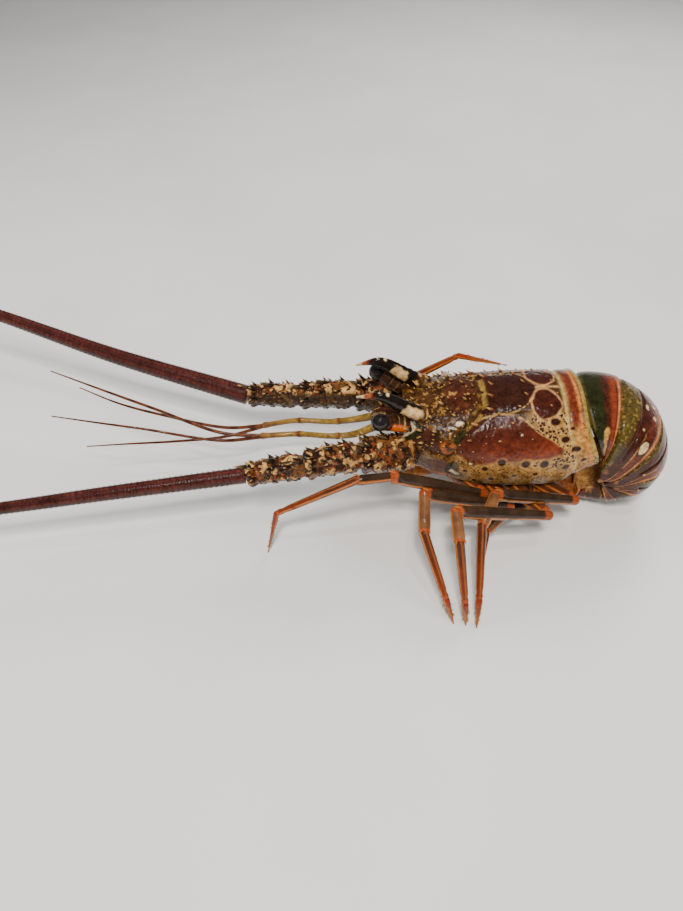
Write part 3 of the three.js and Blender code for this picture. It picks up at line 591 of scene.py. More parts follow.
def shell_finish(name, dots=2.4, gloss=0.3, relief=0.2, grit=0.5, blister=1.9, wet=0.32, plain=0):
    """Wet shell: painted colour, fine mottling, dark pores where marked, and a thin gloss."""
    made = Finish(name, Coat_Weight=0.06, Coat_Roughness=0.1, Specular_IOR_Level=wet)
    tint, mark = made.attribute("tint").outputs["Color"], Value(made, made.attribute("mark").outputs["Fac"])
    fine, blisters, broad = made.noise(grit, detail=4), made.noise(blister, detail=2), made.noise(6, detail=3)
    pores = 1 - (made.cells(dots) - mark * 0.6 + 0.06).between(-0.06, 0.06)
    shade = (fine.between(0.3, 0.7) + blisters.between(0.3, 0.7)) * 0.35 + broad.between(0.35, 0.65) * 0.3
    toned = made.mixed(shade * (1 - plain) + plain * 0.5, *SHELL_TONES)
    colour = made.mixed(1.0, tint, toned, "MULTIPLY")
    made.set(made.shader, "Base Color", made.mixed(pores, colour, PORE_BROWN))
    made.set(made.shader, "Roughness", fine * 0.1 + broad * 0.08 + (gloss - 0.26))
    made.bumped(fine * 0.05 + blisters * 1.5 + broad * 1.2 - pores * 0.3, relief)
    return made


carapace = Piece()
carapace.shell(300, 260, carapace_place, carapace_paint)
shell_skin = shell_finish("carapace_shell", dots=1.8, relief=0.3, blister=2.4)
carapace.finish("carapace", shell_skin, "maroon_shell", ["carapace_front", "carapace_rear"])

# ---------------------------------------------------------------- Carapace spines
# Thorns of the same shell that stand in rows on the shield and lean forwards: black at
# the root, cream above, orange to brown at the point. They grow as one with the shield.
SPINE_LEAN = 0.9
# Rows: x from and to, degrees from the midline at both ends, how many, first and last length
FRONT_ROWS = [
    (-127, -100, 21, 14, 3, 7.5, 5),
    (-133, -97, 7, 7, 3, 4, 3),
    (-133, -108, 44, 36, 3, 7.5, 4.5),
    (-136, -112, 66, 56, 4, 6.5, 4),
    (-138, -114, 88, 80, 3, 8, 3.5),
]
REAR_ROWS = [
    (-82, -42, 9, 9, 3, 4.4, 2),
    (-84, -46, 28, 26, 3, 4.2, 2),
    (-93, -50, 47, 44, 3, 4.2, 2),
    (-99, -58, 68, 64, 3, 3.6, 2),
]
SPINE_BANDS = [
    (0, (0.05, 0.025, 0.012)), (0.3, BLACK), (0.5, CREAM), (0.8, (0.7, 0.4, 0.14)), (1, (0.36, 0.11, 0.03)),
]
REAR_SPINE_BANDS = [(0, (0.16, 0.05, 0.03)), (0.35, (0.4, 0.2, 0.1)), (0.7, CREAM), (1, (0.5, 0.25, 0.1))]
SMALL_SPINE_COUNT, HEAD_END_X = 170, -92
SPINE_HOOK = 0.06
RANDOM_STEP, RANDOM_LIMIT = 16807, 2147483647


def seeded(seed):
    """Random numbers that come out the same on every run."""
    state = seed
    while True:
        state = state * RANDOM_STEP % RANDOM_LIMIT
        yield state / RANDOM_LIMIT


def banded(h, bands):
    """A colour for each height in h, run between the stops of bands."""
    stops = [stop for stop, _ in bands]
    return np.column_stack([np.interp(h, stops, [colour[k] for _, colour in bands]) for k in range(3)])


def unit(vector):
    """The same direction, one long."""
    return vector / np.linalg.norm(vector)


def plain_black(t, a, points):
    """Paint for what gets its colour otherwise."""
    return BLACK, 0


def thorn_pattern(rings=6, sides=8):
    """The pattern of every thorn, one high and one wide, a little bulged at its foot."""
    made = Piece()

    def place(t, a):
        h, turn = (t * 1.06).clip(0, 1), a * 2 * math.pi
        wide = (1 - h) ** 0.85 * (1 + 0.35 * bump(h / 0.16)) * np.minimum(t / 0.02, 1)
        return np.column_stack([wide * np.sin(turn), wide * np.cos(turn), h])

    made.shell(rings, sides, place, plain_black)
    made.form.verts.index_update()
    points = np.array([vert.co for vert in made.form.verts]) / MM
    faces = [[vert.index for vert in face.verts] for face in made.form.faces]
    made.form.free()
    return points, faces


THORN_POINTS, THORN_FACES = thorn_pattern()
# A direction that no thorn takes, to turn each about its own length
ASKEW = (0.31, 0.2, 0.93)


def thorns(piece, feet, ways, lengths, radii, bands=SPINE_BANDS, hook=0.0):
    """Many thorns at once, each the same pattern set on its foot; hook bends the points up."""
    ways = np.array(ways, float)
    ways /= np.linalg.norm(ways, axis=1)[:, None]
    across = np.cross(ways, ASKEW)
    across /= np.linalg.norm(across, axis=1)[:, None]
    beside = np.cross(ways, across)
    lengths, radii = (np.array(sizes, float)[:, None, None] for sizes in (lengths, radii))
    x, y, h = (THORN_POINTS[None, :, k:k + 1] for k in range(3))
    rise = h * (lengths + radii) - radii
    spots = np.array(feet)[:, None] + ways[:, None] * rise
    spots = spots + across[:, None] * x * radii + beside[:, None] * y * radii
    spots[:, :, 2:] += hook * lengths * h**2
    spots[:, :, 2] = spots[:, :, 2].clip(0)
    tints = banded((rise.clip(0) / lengths).ravel(), bands)
    count = len(THORN_POINTS)
    faces = [[number + i * count for number in face] for i in range(len(ways)) for face in THORN_FACES]
    mesh = bpy.data.meshes.new("thorns")
    mesh.from_pydata((spots.reshape(-1, 3) * MM).tolist(), [], faces)
    colours = np.column_stack([tints, np.ones(len(tints))]).astype(np.float32)
    mesh.attributes.new("tint", "FLOAT_COLOR", "POINT").data.foreach_set("color", colours.ravel())
    mesh.attributes.new("mark", "FLOAT", "POINT")
    piece.add(mesh)


def carapace_spine(x, degrees, length, radius):
    """The foot, the way, and the sizes of a thorn that leans forwards on the shield."""
    s, side = np.array([abs(degrees) / 180] * 3), np.sign(degrees)
    spots = carapace_point(np.array([x, x - 1, x]), s + (0, 0, 0.016), side)
    ahead, beside = unit(spots[1] - spots[0]), unit(spots[2] - spots[0])
    out = unit(np.cross(beside, ahead))
    out = out if out @ (0, spots[0][1], spots[0][2] - CARAPACE_HEART_Z) > 0 else -out
    return spots[0], out + ahead * SPINE_LEAN, length, radius


front_spines, rear_spines = [], []
for rows, seed, held in ((FRONT_ROWS, 7, front_spines), (REAR_ROWS, 19, rear_spines)):
    random = seeded(seed)
    for start, end, near, far, count, first, last in rows:
        for i in range(count):
            f = i / (count - 1)
            for side in (-1, 1):
                x = start + (end - start) * f + (next(random) - 0.5) * 2.4
                degrees = near + (far - near) * f + (next(random) - 0.5) * 3
                length = (first + (last - first) * f) * (0.88 + next(random) * 0.24)
                held.append(carapace_spine(x, side * degrees, length, 0.6 + length * 0.2))
small_random = np.random.default_rng(5)
for _ in range(SMALL_SPINE_COUNT):
    x, degrees = -137 + 52 * small_random.random() ** 1.3, small_random.uniform(5, 104)
    length = small_random.uniform(1.2, 3.2) * (1.0 if x < HEAD_END_X else 0.6)
    held = front_spines if x < HEAD_END_X else rear_spines
    held.append(carapace_spine(x, small_random.choice((-1, 1)) * degrees, length, 0.35 + length * 0.24))
spines = Piece()
thorns(spines, *zip(*front_spines), hook=SPINE_HOOK)
thorns(spines, *zip(*rear_spines), bands=REAR_SPINE_BANDS, hook=SPINE_HOOK)
spine_skin = shell_finish("spine_shell", grit=0.4, gloss=0.26, relief=0.05)
spines.finish("carapace_spines", spine_skin, "pale_underside", [])

# ---------------------------------------------------------------- Horns over the eyes
# Two strong flattened horns that curve forwards over the eyes, banded black and cream
# along their length. Outgrowths of the shield, smooth and polished by wear.
SIDES = (("left", -1), ("right", 1))
HORN_PATH = [(-126, 16, 86), (-138, 16.5, 93), (-155, 16.5, 103.5), (-171, 15, 102)]
HORN_RADII = [5.4, 5, 3.4, 0.6]
HORN_BANDS = [
    (0, (0.12, 0.06, 0.02)), (0.14, (0.1, 0.05, 0.02)), (0.18, BLACK), (0.76, BLACK),
    (0.8, (0.3, 0.06, 0.02)), (0.86, (0.55, 0.2, 0.08)), (0.89, WHITE), (1, WHITE),
]


ROUTE_STEPS = 24


def route(points, count=160):
    """Even steps along a smooth curve through the points."""
    knots = np.array(points, float)
    knots = np.vstack([2 * knots[:1] - knots[1:2], knots, 2 * knots[-1:] - knots[-2:-1]])
    gaps = np.linalg.norm(np.diff(knots, axis=0), axis=1) ** 0.5
    f = np.linspace(0, 1, ROUTE_STEPS, endpoint=False)[:, None]
    line = []
    for i in range(1, len(knots) - 2):
        before, here, after, beyond = knots[i - 1:i + 3]
        d0, d1, d2 = gaps[i - 1:i + 2]
        leave = ((here - before) / d0 - (after - before) / (d0 + d1) + (after - here) / d1) * d1
        enter = ((after - here) / d1 - (beyond - here) / (d1 + d2) + (beyond - after) / d2) * d1
        bend = 2 * (here - after) + leave + enter
        lean = 3 * (after - here) - 2 * leave - enter
        line.append(((bend * f + lean) * f + leave) * f + here)
    line = np.vstack([*line, knots[-2:-1]])
    reach = np.concatenate([[0], np.cumsum(np.linalg.norm(np.diff(line, axis=0), axis=1))])
    even = np.linspace(0, reach[-1], count)
    return np.column_stack([np.interp(even, reach, line[:, k]) for k in range(3)])


def on_side(path, side):
    """A path on the left (-1) or right (1) side."""
    return [(x, side * y, z) for x, y, z in path]


class Limb:
    """A tapering limb along a path; t runs from its root to its end and a round it."""

    def __init__(self, points, radii, wide=1.0, up=(0, 0, 1), domes=(1.0, 1.0), relief=None):
        self.line = route(points)
        self.reach = np.linalg.norm(np.diff(self.line, axis=0), axis=1).sum()
        self.ahead = np.gradient(self.line, axis=0)
        self.ahead /= np.linalg.norm(self.ahead, axis=1)[:, None]
        self.across = np.cross(self.ahead, up)
        self.across /= np.linalg.norm(self.across, axis=1)[:, None]
        self.top = np.cross(self.across, self.ahead)
        self.radii, self.wide, self.domes, self.relief = radii, wide, domes, relief

    def at(self, rows, f):
        """What rows say at a share of the way along."""
        place = np.asarray(f) * (len(rows) - 1)
        return np.column_stack([np.interp(place, range(len(rows)), rows[:, k]) for k in range(3)])

    def out(self, f, a):
        """The way out from the middle, round the limb."""
        turn = (np.asarray(a) * 2 * math.pi)[:, None]
        return self.at(self.across, f) * np.sin(turn) + self.at(self.top, f) * np.cos(turn)

    def point(self, f, a, lift=0.0):
        """A point on the limb's skin."""
        radius = run(self.radii, f)
        turn = (np.asarray(a) * 2 * math.pi)[:, None]
        skin = self.at(self.across, f) * np.sin(turn) * (radius * self.wide + lift)[:, None]
        return self.at(self.line, f) + skin + self.at(self.top, f) * np.cos(turn) * (radius + lift)[:, None]

    def place(self, t, a):
        """The limb's grid, with both ends domed over."""
        root, tip = self.domes[0] / self.reach, self.domes[1] / self.reach
        f = root + (1 - root - tip) * inside_ends(t)
        turn_root = (t / END_SHARE).clip(0, 1) * math.pi / 2
        turn_tip = ((1 - t) / END_SHARE).clip(0, 1) * math.pi / 2
        f = np.where(t < END_SHARE, root * (1 - np.cos(turn_root)), f)
        f = np.where(t > 1 - END_SHARE, 1 - tip * (1 - np.cos(turn_tip)), f)
        size = np.sin(turn_root) * np.sin(turn_tip)
        lift = self.relief(f, a) if self.relief else 0.0
        skin = self.point(f, a, lift * np.ones(len(f)))
        centre = self.at(self.line, f)
        return centre + (skin - centre) * size[:, None]


def horn_relief(f, a):
    """Low growth rings, and a keel below."""
    return 0.25 * np.sin(f * 60) * bump(f / 0.4) + 0.8 * peak(a, 0.5, 0.06) * peak(f, 0.3, 0.3)


for side_name, side in SIDES:
    horn = Piece()
    shape = Limb(on_side(HORN_PATH, side), HORN_RADII, wide=0.85, relief=horn_relief)

    def horn_paint(t, a, points):
        wander = 0.03 * grain(points, 3, 8) + 0.02 * grain(points, 1.3, 9)
        round_share = np.minimum(a, 1 - a)
        coat = Paint(points, banded(t + wander, HORN_BANDS))
        from_root = t + wander - (0.06 if side < 0 else 0.2)
        patch = plateau(from_root, 0.06, 0.09, 0.28, 0.31)
        patch *= smooth(round_share + wander, 0.07, 0.1) * wane(round_share + wander, 0.33, 0.38)
        coat.lay((0.86, 0.7, 0.42), patch)
        coat.lay((0.75, 0.55, 0.25), coat.blots(2.2, 10, 0.2, 0.5) * (t < 0.17))
        dots = peak(t, 0.62, 0.022) * peak(round_share, 0.04, 0.07)
        dots += peak(t, 0.7, 0.014) * bump(round_share / 0.05)
        coat.lay(WHITE, smooth(dots, 0.4, 0.7))
        return coat.tint, 0.0

    horn.shell(90, 40, shape.place, horn_paint)
    horn.finish(f"horn_{side_name}", spine_skin, "banded_horn")

# ---------------------------------------------------------------- Eyes on their stalks
# Black faceted eyeballs, each in the cup of a short thick stalk. The stalk's soft skin is
# bright orange above and cream at the cup's edge.
EYE_CENTRE = (-155.7, 24, 88.5)
EYE_RADIUS = 5.8
EYESTALK_PATH = [(-137, 17, 79), (-146, 20, 84), (-153, 23, 87.5)]
EYESTALK_RADII = [5.2, 5.6, 5.2]

eye_skin = Finish("eye_black", Coat_Weight=0.4, Coat_Roughness=0.03, Specular_IOR_Level=0.3)
eye_cells = eye_skin.cells(0.28)
eye_skin.set(
    eye_skin.shader,
    "Base Color",
    eye_skin.mixed(eye_skin.noise(3).between(0.3, 0.8), (0.004, 0.004, 0.005, 1), (0.02, 0.014, 0.01, 1)),
)
eye_skin.set(eye_skin.shader, "Roughness", 0.12 + 0.1 * eye_skin.noise(1.5))
eye_skin.bumped(eye_cells, 0.003)

stalk_skin = shell_finish("eyestalk_skin", gloss=0.34, relief=0.1)
for side_name, side in SIDES:
    eye_centre = np.array(EYE_CENTRE) * (1, side, 1)
    eye = Piece()

    def eye_place(t, a):
        turn, tilt = a * 2 * math.pi, t * math.pi
        ball = np.column_stack([np.cos(tilt), np.sin(tilt) * np.sin(turn), np.sin(tilt) * np.cos(turn)])
        return eye_centre + ball * EYE_RADIUS * (1, 0.96, 1)

    eye.shell(48, 64, eye_place, plain_black)
    eye.finish(f"eye_{side_name}", eye_skin, "black_eye")

    eyestalk = Piece()
    shape = Limb(on_side(EYESTALK_PATH, side), EYESTALK_RADII, domes=(2, 1.5))

    def eyestalk_paint(t, a, points, side=side):
        outer = bump((a - (0.72 if side < 0 else 0.28) - 0.012 * grain(points, 2, 4)) / 0.11)
        coat = Paint(points, (0.05, 0.026, 0.016), 0.5, 2, 3)
        arcs = bump((t - 0.3 + 0.02 * grain(points, 3, 5)) / 0.035) + 0.6 * peak(t, 0.56, 0.02)
        coat.lay((0.62, 0.45, 0.24), arcs * coat.blots(3, 6, -0.8, 0) * (0.35 if side > 0 else 1))
        coat.lay((0.9, 0.2, 0.012), smooth(outer, 0.3, 0.5))
        coat.lay((0.05, 0.02, 0.015), smooth(t, 0.8, 0.86))
        return coat.tint, 0.0

    eyestalk.shell(50, 36, shape.place, eyestalk_paint)
    eyestalk.finish(f"eyestalk_{side_name}", stalk_skin, "orange_shell")

# ---------------------------------------------------------------- Plate between the feelers
# A short bare plate under the horns, which carries the small feelers. Hard shell, olive
# and cream, with two little spines at its front.
PLATE_PATH = [(-137, 0, 68), (-149, 0, 68), (-160, 0, 65)]
PLATE_RADII = [8.6, 8, 6]
PLATE_SPINES = [(-152, -5, 75.2), (-152, 5, 75.2)]


def plate_relief(f, a):
    """A furrow along the middle."""
    return -0.9 * bump(a / 0.05) - 0.9 * peak(a, 1, 0.05)


def plate_paint(t, a, points):
    coat = Paint(points, OLIVE, 0.4, 5, 3)
    coat.lay((0.12, 0.035, 0.025), coat.blots(4, 12, 0, 0.4))
    coat.lay(CREAM, coat.blots(2.4, 13, 0.25, 0.5) * 0.9)
    return coat.tint, 0.6


plate = Piece()
thorns(plate, PLATE_SPINES, [(-1, -0.1, 0.9), (-1, 0.1, 0.9)], [4.6, 4.6], [1.3, 1.3])
plate_shape = Limb(PLATE_PATH, PLATE_RADII, wide=1.25, domes=(2, 4), relief=plate_relief)
plate.shell(60, 60, plate_shape.place, plate_paint)
plate.finish("antennular_plate", shell_skin, "olive_shell")

# ---------------------------------------------------------------- Feeler stalks
# The stout spiny stalks of the long feelers, three pieces a side: heavy mottled shell,
# cream with dark round spots and rust, each piece flared over the joint of the next.
STALK_PATHS = {
    "left": [(-136, -26, 62), (-168, -32.5, 66), (-204, -38, 63), (-242, -42, 58)],
    "right": [(-136, 26, 62), (-170, 28.5, 63), (-210, 32.5, 58), (-248, 37.5, 53)],
}
STALK_RADII = [[12.5, 12.6, 10.4], [10, 9.8, 8.8], [8.6, 8.2, 6.9]]
STALK_TUCK = 6
STALK_NAMES = ["antenna_base", "antenna_stalk_middle", "antenna_stalk_end"]
STALK_SPINE_BANDS = [
    (0, BLACK), (0.4, BLACK), (0.52, CREAM), (0.66, BLACK), (0.78, WHITE), (1, (0.8, 0.5, 0.2)),
]
stalk_shell = shell_finish("feeler_stalk_shell", dots=2, relief=0.3)


def stalk_relief(f, a):
    """Blisters all over, a flared end, and two furrows along the upper side."""
    turn = a * 2 * math.pi
    spots = np.column_stack([f * 40, np.sin(turn) * 9, np.cos(turn) * 9])
    blisters = 1.1 * smooth(grain(spots, 2.3, 36), 0.05, 0.7) + 0.5 * grain(spots, 5, 37)
    flare = 0.7 * peak(f, 0.94, 0.04) - 0.6 * peak(f, 0.84, 0.04) - 0.8 * bump(f / 0.08)
    return blisters + flare - 0.9 * peak(a, 0.13, 0.03) - 0.9 * peak(a, 0.8, 0.03)


SMALL_THORN_BANDS = [(0, (0.08, 0.035, 0.02)), (0.5, (0.12, 0.055, 0.03)), (1, (0.6, 0.4, 0.18))]
# The longest thorns of a stalk: place along, degrees round, length, and lean forwards
LONG_THORNS = [(0.9, -6, 11, 2.4), (0.5, 6, 9, 2.4)]
for side_name, side in SIDES:
    for number, name in enumerate(STALK_NAMES):
        root, end = np.array(STALK_PATHS[side_name][number:number + 2])
        tuck = unit(root - end) * STALK_TUCK
        shape = Limb(
            [root + tuck, root, (root + end) / 2 + (0, 0, 0.8), end],
            [STALK_RADII[number][0] * 0.8, *STALK_RADII[number]],
            wide=0.95,
            domes=(2.5, 1.2),
            relief=stalk_relief,
        )
        inner = 0.75 if side > 0 else 0.25

        def stalk_paint(t, a, points, inner=inner, number=number):
            rough = points + np.column_stack([grain(points, 2.2, seed) for seed in (38, 39, 29)]) * 1.4
            coat = Paint(points, (0.17, 0.08, 0.03), 0.5, 3, 30)
            coat.lay((0.3, 0.08, 0.03), smooth(grain(rough, 5, 32), 0.1, 0.3) * 0.8)
            coat.lay((0.04, 0.018, 0.012), smooth(grain(rough, 4.2, 31), -0.05, 0.12))
            coat.lay((0.8, 0.56, 0.26), smooth(grain(rough, 4.1, 33), 0.2, 0.34))
            coat.lay((0.02, 0.012, 0.01), smooth(grain(rough, 2.6, 34), 0.28, 0.42) * 0.95)
            coat.lay((0.9, 0.72, 0.42), coat.blots(1.7, 35, 0.6, 0.72) * 0.4)
            # The inner side, which faces the other stalk, and the underside are painted dark brown: painted
            # shade.
            painted_shade = smooth(peak(a, inner, 0.14), 0.25, 0.6) + smooth(peak(a, 0.52, 0.14), 0.3, 0.6)
            coat.lay((0.05, 0.034, 0.02), painted_shade.clip(0, 1) * 0.9)
            rooted = peak(t, 0.17, 0.035) * (number == 0) * coat.blots(3, 27, -0.7, 0)
            coat.lay((0.5, 0.26, 0.07), rooted * 0.9)
            return coat.tint, 0.35

        random = seeded(41 + number * 7 + (0 if side_name == "left" else 3))
        spots = [(0.84, degrees, 6.5 - number * 0.8, 0.8) for degrees in (-62, -18, 30, 72)]
        for f in (0.22, 0.52):
            spots += [(f + 0.04, -40, 5.2, 0.8), (f, 44, 5.2, 0.8)]
        spots = [
            (f, degrees + (next(random) - 0.5) * 12, long * (0.85 + next(random) * 0.3), lean)
            for f, degrees, long, lean in spots + LONG_THORNS
        ]
        big = len(spots)
        small = np.random.default_rng(60 + number + (side > 0) * 5)
        for f in np.linspace(0.12, 0.93, 9):
            for degrees in (-85, -52, -25, 10, 38, 60, 88):
                along, turn = f + small.uniform(-0.03, 0.03), degrees + small.uniform(-9, 9)
                spots.append((along, turn, small.uniform(1.2, 3.4), 1.0))
        f, degrees, lengths, lean = np.array(spots).T
        along = (f * np.linalg.norm(end - root) + STALK_TUCK) / shape.reach
        turn = (degrees / 360) % 1
        out, ahead = shape.out(along, turn), shape.at(shape.ahead, along)
        feet = shape.point(along, turn) - out * 0.3
        stalk = Piece()
        ways, radii = out + ahead * lean[:, None], 0.6 + lengths * 0.18
        thorns(stalk, feet[:big], ways[:big], lengths[:big], radii[:big], STALK_SPINE_BANDS)
        thorns(stalk, feet[big:], ways[big:], lengths[big:], radii[big:], SMALL_THORN_BANDS)
        stalk.shell(150, 130, shape.place, stalk_paint)
        stalk.finish(f"{name}_{side_name}", stalk_shell, "speckled_stalk")

# ---------------------------------------------------------------- Long feelers
# Stiff tapering rods of many short rings, purple-maroon, with rows of tiny dark thorns
# that point outwards. Each bends as one easy curve from its stalk.
FLAGELLUM_PATHS = {
    "left": [(-242, -42, 58), (-333, -57, 57), (-396, -66, 54), (-520, -82, 50), (-668, -112, 58)],
    "right": [(-248, 37.5, 53), (-348, 65, 67), (-438, 94, 82), (-540, 126, 96), (-650, 152, 106)],
}
FLAGELLUM_RADII = {"left": 5.5, "right": 7.2}
FLAGELLUM_TIP = 0.6
FLAGELLUM_RINGS = 230
FEELER_THORN = [(0, (0.03, 0.008, 0.01)), (1, (0.05, 0.015, 0.015))]
feeler_skin = shell_finish(
    "long_feeler_shell", dots=1.6, gloss=0.45, relief=0.16, grit=0.6, blister=1.2, wet=0.3
)
FEELER_THORN_ROWS = (0.02, 0.2, 0.37, 0.54, 0.71, 0.88)
THORNS_IN_ROW = 110
for side_name, side in SIDES:
    thick = FLAGELLUM_RADII[side_name]
    taper = [FLAGELLUM_TIP + (thick - FLAGELLUM_TIP) * (1 - f) ** 0.8 for f in np.linspace(0, 1, 40)]
    shape = Limb(
        FLAGELLUM_PATHS[side_name],
        taper,
        domes=(1, 0.5),
        relief=lambda f, a: (0.12 * np.abs(np.sin(f * math.pi * FLAGELLUM_RINGS)) - 0.1) * (1 - 0.7 * f),
    )

    def feeler_paint(t, a, points):
        coat = Paint(points, (0.075, 0.02, 0.024), 0.5, 14, 40)
        coat.lay((0.2, 0.065, 0.055), smooth(np.abs(((a * 6) % 1) - 0.5), 0.3, 0.5) * 0.45)
        coat.lay((0.4, 0.13, 0.05), wane(t, 0.0, 0.05))
        rings = smooth(np.cos(t * 2 * math.pi * FLAGELLUM_RINGS / 2), 0.6, 0.95)
        coat.lay((0.04, 0.008, 0.01), rings * 0.5)
        return coat.tint, 0.45

    feeler = Piece()
    for row, a in enumerate(FEELER_THORN_ROWS):
        f = np.linspace(0.02 + 0.002 * row, 0.9, THORNS_IN_ROW)
        turn = np.full(len(f), a)
        ways = shape.out(f, turn) + 0.9 * shape.at(shape.ahead, f)
        thorns(feeler, shape.point(f, turn), ways, 1.9 * (1 - 0.6 * f), 0.5 * (1 - 0.5 * f), FEELER_THORN)
    feeler.shell(1400, 24, shape.place, feeler_paint)
    nodes = [f"flagellum_{number}_{side_name}" for number in (1, 2, 3)]
    feeler.finish(f"flagellum_{side_name}", feeler_skin, "maroon_feeler", nodes)

# ---------------------------------------------------------------- Small feelers
# A thin stalk of three smooth joints on each side, pale yellow, which forks into two fine
# whips banded brown.
ANTENNULE_PATHS = {
    "left": {
        "stalk": [(-157, -5, 65), (-171, -8, 60.5), (-186, -9, 59.6), (-209, -10, 62.7), (-235, -12, 62.8)],
        "upper": [(-233, -12, 63), (-260, -13, 67), (-305, -2, 79), (-338, 6, 88), (-372, 14, 98)],
        "lower": [(-233, -12, 62), (-261, -14, 60.5), (-311, -15, 73), (-340, -15, 79), (-368, -14, 84)],
    },
    "right": {
        "stalk": [(-157, 5, 65), (-172, 8, 58), (-188, 10, 54), (-212, 11, 54), (-236, 9, 51)],
        "upper": [(-234, 9, 51.2), (-262, 8, 50), (-305, 14, 56), (-338, 22, 60), (-366, 30, 68)],
        "lower": [(-234, 9, 50.6), (-262, 4, 45), (-300, 0, 44), (-330, -4, 46), (-356, -10, 50)],
    },
}
small_feeler_skin = shell_finish("small_feeler_shell", gloss=0.3, relief=0.05, grit=0.5)
for side_name in ("left", "right"):
    small_feeler = Piece()
    for name, radii in (
        ("stalk", [2.85, 2.1, 1.9, 1.9]),
        ("upper", [1.3, 1.1, 0.9, 0.4]),
        ("lower", [1.3, 1, 0.8, 0.4]),
    ):
        joints = (0.34, 0.66, 0.97) if name == "stalk" else ()
        shape = Limb(
            ANTENNULE_PATHS[side_name][name],
            radii,
            domes=(0.8, 0.6),
            relief=lambda f, a, joints=joints: sum(0.4 * peak(f, joint, 0.025) for joint in joints) + 0 * f,
        )

        def small_feeler_paint(t, a, points, name=name):
            pale = (0.36, 0.26, 0.07) if name == "stalk" else (0.16, 0.06, 0.03)
            coat = Paint(points, pale, 0.15, 5, 44)
            if name == "stalk":
                joined = peak(t, 0.34, 0.015) + peak(t, 0.66, 0.015) + smooth(t, 0.6, 1) * 0.7
                coat.lay((0.2, 0.07, 0.03), joined)
                # The underside of the stalk is painted darker brown: painted shade.
                coat.lay((0.1, 0.04, 0.02), smooth(np.abs(a - 0.5), 0.3, 0.18) * 0.85)
                return coat.tint, 0.0
            bands = smooth(np.sin(t * 75), 0.2, 0.6)
            coat.lay((0.07, 0.02, 0.015), bands * 0.75)
            return coat.tint, 0.0

        small_feeler.shell(160, 14, shape.place, small_feeler_paint)
    small_feeler.finish(f"antennule_{side_name}", small_feeler_skin, "yellow_feeler")

# ---------------------------------------------------------------- Breastplate
# The pale plate between the legs, of five fused ribs, broad behind and narrow in front.
# Thin hard shell, cream with orange edges.
STERNUM_FRONT_X, STERNUM_REAR_X = -118, -32
STERNUM_HALF_WIDTHS = [9, 14, 19, 24, 26]
STERNUM_TOP, STERNUM_BOTTOM = 40, 28
STERNUM_RIBS, STERNUM_END = 5, 0.06
under_skin = shell_finish("pale_under_shell", gloss=0.34, relief=0.1)


def sternum_place(t, a):
    turn = a * 2 * math.pi
    f, size = inside_ends(t, STERNUM_END), closed_ends(t, STERNUM_END)
    half = run(STERNUM_HALF_WIDTHS, f)
    ribs = 1.1 * np.abs(np.sin(f * math.pi * STERNUM_RIBS)) ** 0.5 - 1.1
    middle, high = (STERNUM_TOP + STERNUM_BOTTOM) / 2, (STERNUM_TOP - STERNUM_BOTTOM) / 2
    square = lambda c: np.sign(c) * np.abs(c) ** 0.6
    x = STERNUM_FRONT_X + (STERNUM_REAR_X - STERNUM_FRONT_X) * f
    return np.column_stack([
        x,
        half * square(np.sin(turn)) * size,
        middle + (high + ribs) * square(np.cos(turn)) * size,
    ])


def sternum_paint(t, a, points):
    coat = Paint(points, (0.6, 0.42, 0.2), 0.2, 6, 50)
    ribs = smooth(np.abs(np.sin(inside_ends(t, STERNUM_END) * math.pi * STERNUM_RIBS)), 0.35, 0.1)
    coat.lay((0.5, 0.2, 0.07), ribs * 0.8)
    return coat.tint, 0.2


sternum = Piece()
sternum.shell(120, 80, sternum_place, sternum_paint)
sternum.finish("sternum", under_skin, "pale_underside")

# ---------------------------------------------------------------- Tail rings
# Six stiff hoops of shell, each sliding under the one ahead, curled round below the body.
# Dark maroon bands edged with orange, white eyespots on the second and sixth, and pointed
# flaps at the sides; leaf-shaped swimmerets hang on the soft underside.
TAIL_CENTRE_Z = 47.4
TAIL_START, TAIL_END = -30, 190
TAIL_RADII = [51.4, 45, 42, 42, 44.8, 47.4, 48.2, 48.2, 48.2]
TAIL_HALF_WIDTHS = [31.5, 32, 32.4, 32.4, 31.8, 30.8, 29.5, 27, 24]
TAIL_BELLY_RADII = [20, 18, 17, 18, 20, 23, 25, 29, 36]
TAIL_EDGE_RADII = [14, 12, 11, 11, 13, 15, 17, 22, 31]
RING_ENDS = [-30, 4, 54, 92, 126, 157, 190]
TAIL_YAW = math.radians(14)
YAW_FROM, YAW_TO = -30, 4
UNDERLAP = 5
PLEURON_LONG = [5, 10, 9, 9, 8, 3]
PLEURON_TIP_RADIUS = 5.5
PLEURON_AT, BEFORE_PLEURON, BEHIND_PLEURON = 0.6, 0.42, 0.3
# Where the soft underside folds in behind a ring's side flap
FOLD_SHARE = 0.35
# Share of a ring's grid at each end that closes it, and its sizes for paint: its curl's
# radius and the way round it
RING_END, RING_CURL_MM, RING_ROUND_MM = 0.04, 45, 105


def yawed(points, degrees):
    """The tail bends a little to the left behind its first ring."""
    turn = -TAIL_YAW * ((degrees - YAW_FROM) / (YAW_TO - YAW_FROM)).clip(0, 1)
    x, y, z = points.T
    return np.column_stack([x * np.cos(turn) - y * np.sin(turn), x * np.sin(turn) + y * np.cos(turn), z])


FLANK_DROP = 16
FLANK_LOW, FLANK_HIGH = 12, 34


def flank_drop(degrees, up):
    """How far the flanks of the upper rings hang below the round of the curl."""
    low = wane(np.asarray(up, float), FLANK_LOW, FLANK_HIGH)
    return FLANK_DROP * low * plateau(degrees, -25, 25, 60, 190)


def curl_point(degrees, radius, y, shift=0.0):
    """A point by its angle and distance from the line that the tail is curled about."""
    degrees = np.asarray(degrees, float)
    turn = np.radians(degrees)
    x = np.sin(turn) * radius + np.cos(turn) * shift
    z = TAIL_CENTRE_Z + np.cos(turn) * radius - np.sin(turn) * shift - flank_drop(degrees, radius)
    return yawed(np.column_stack([x, y, z]), degrees)


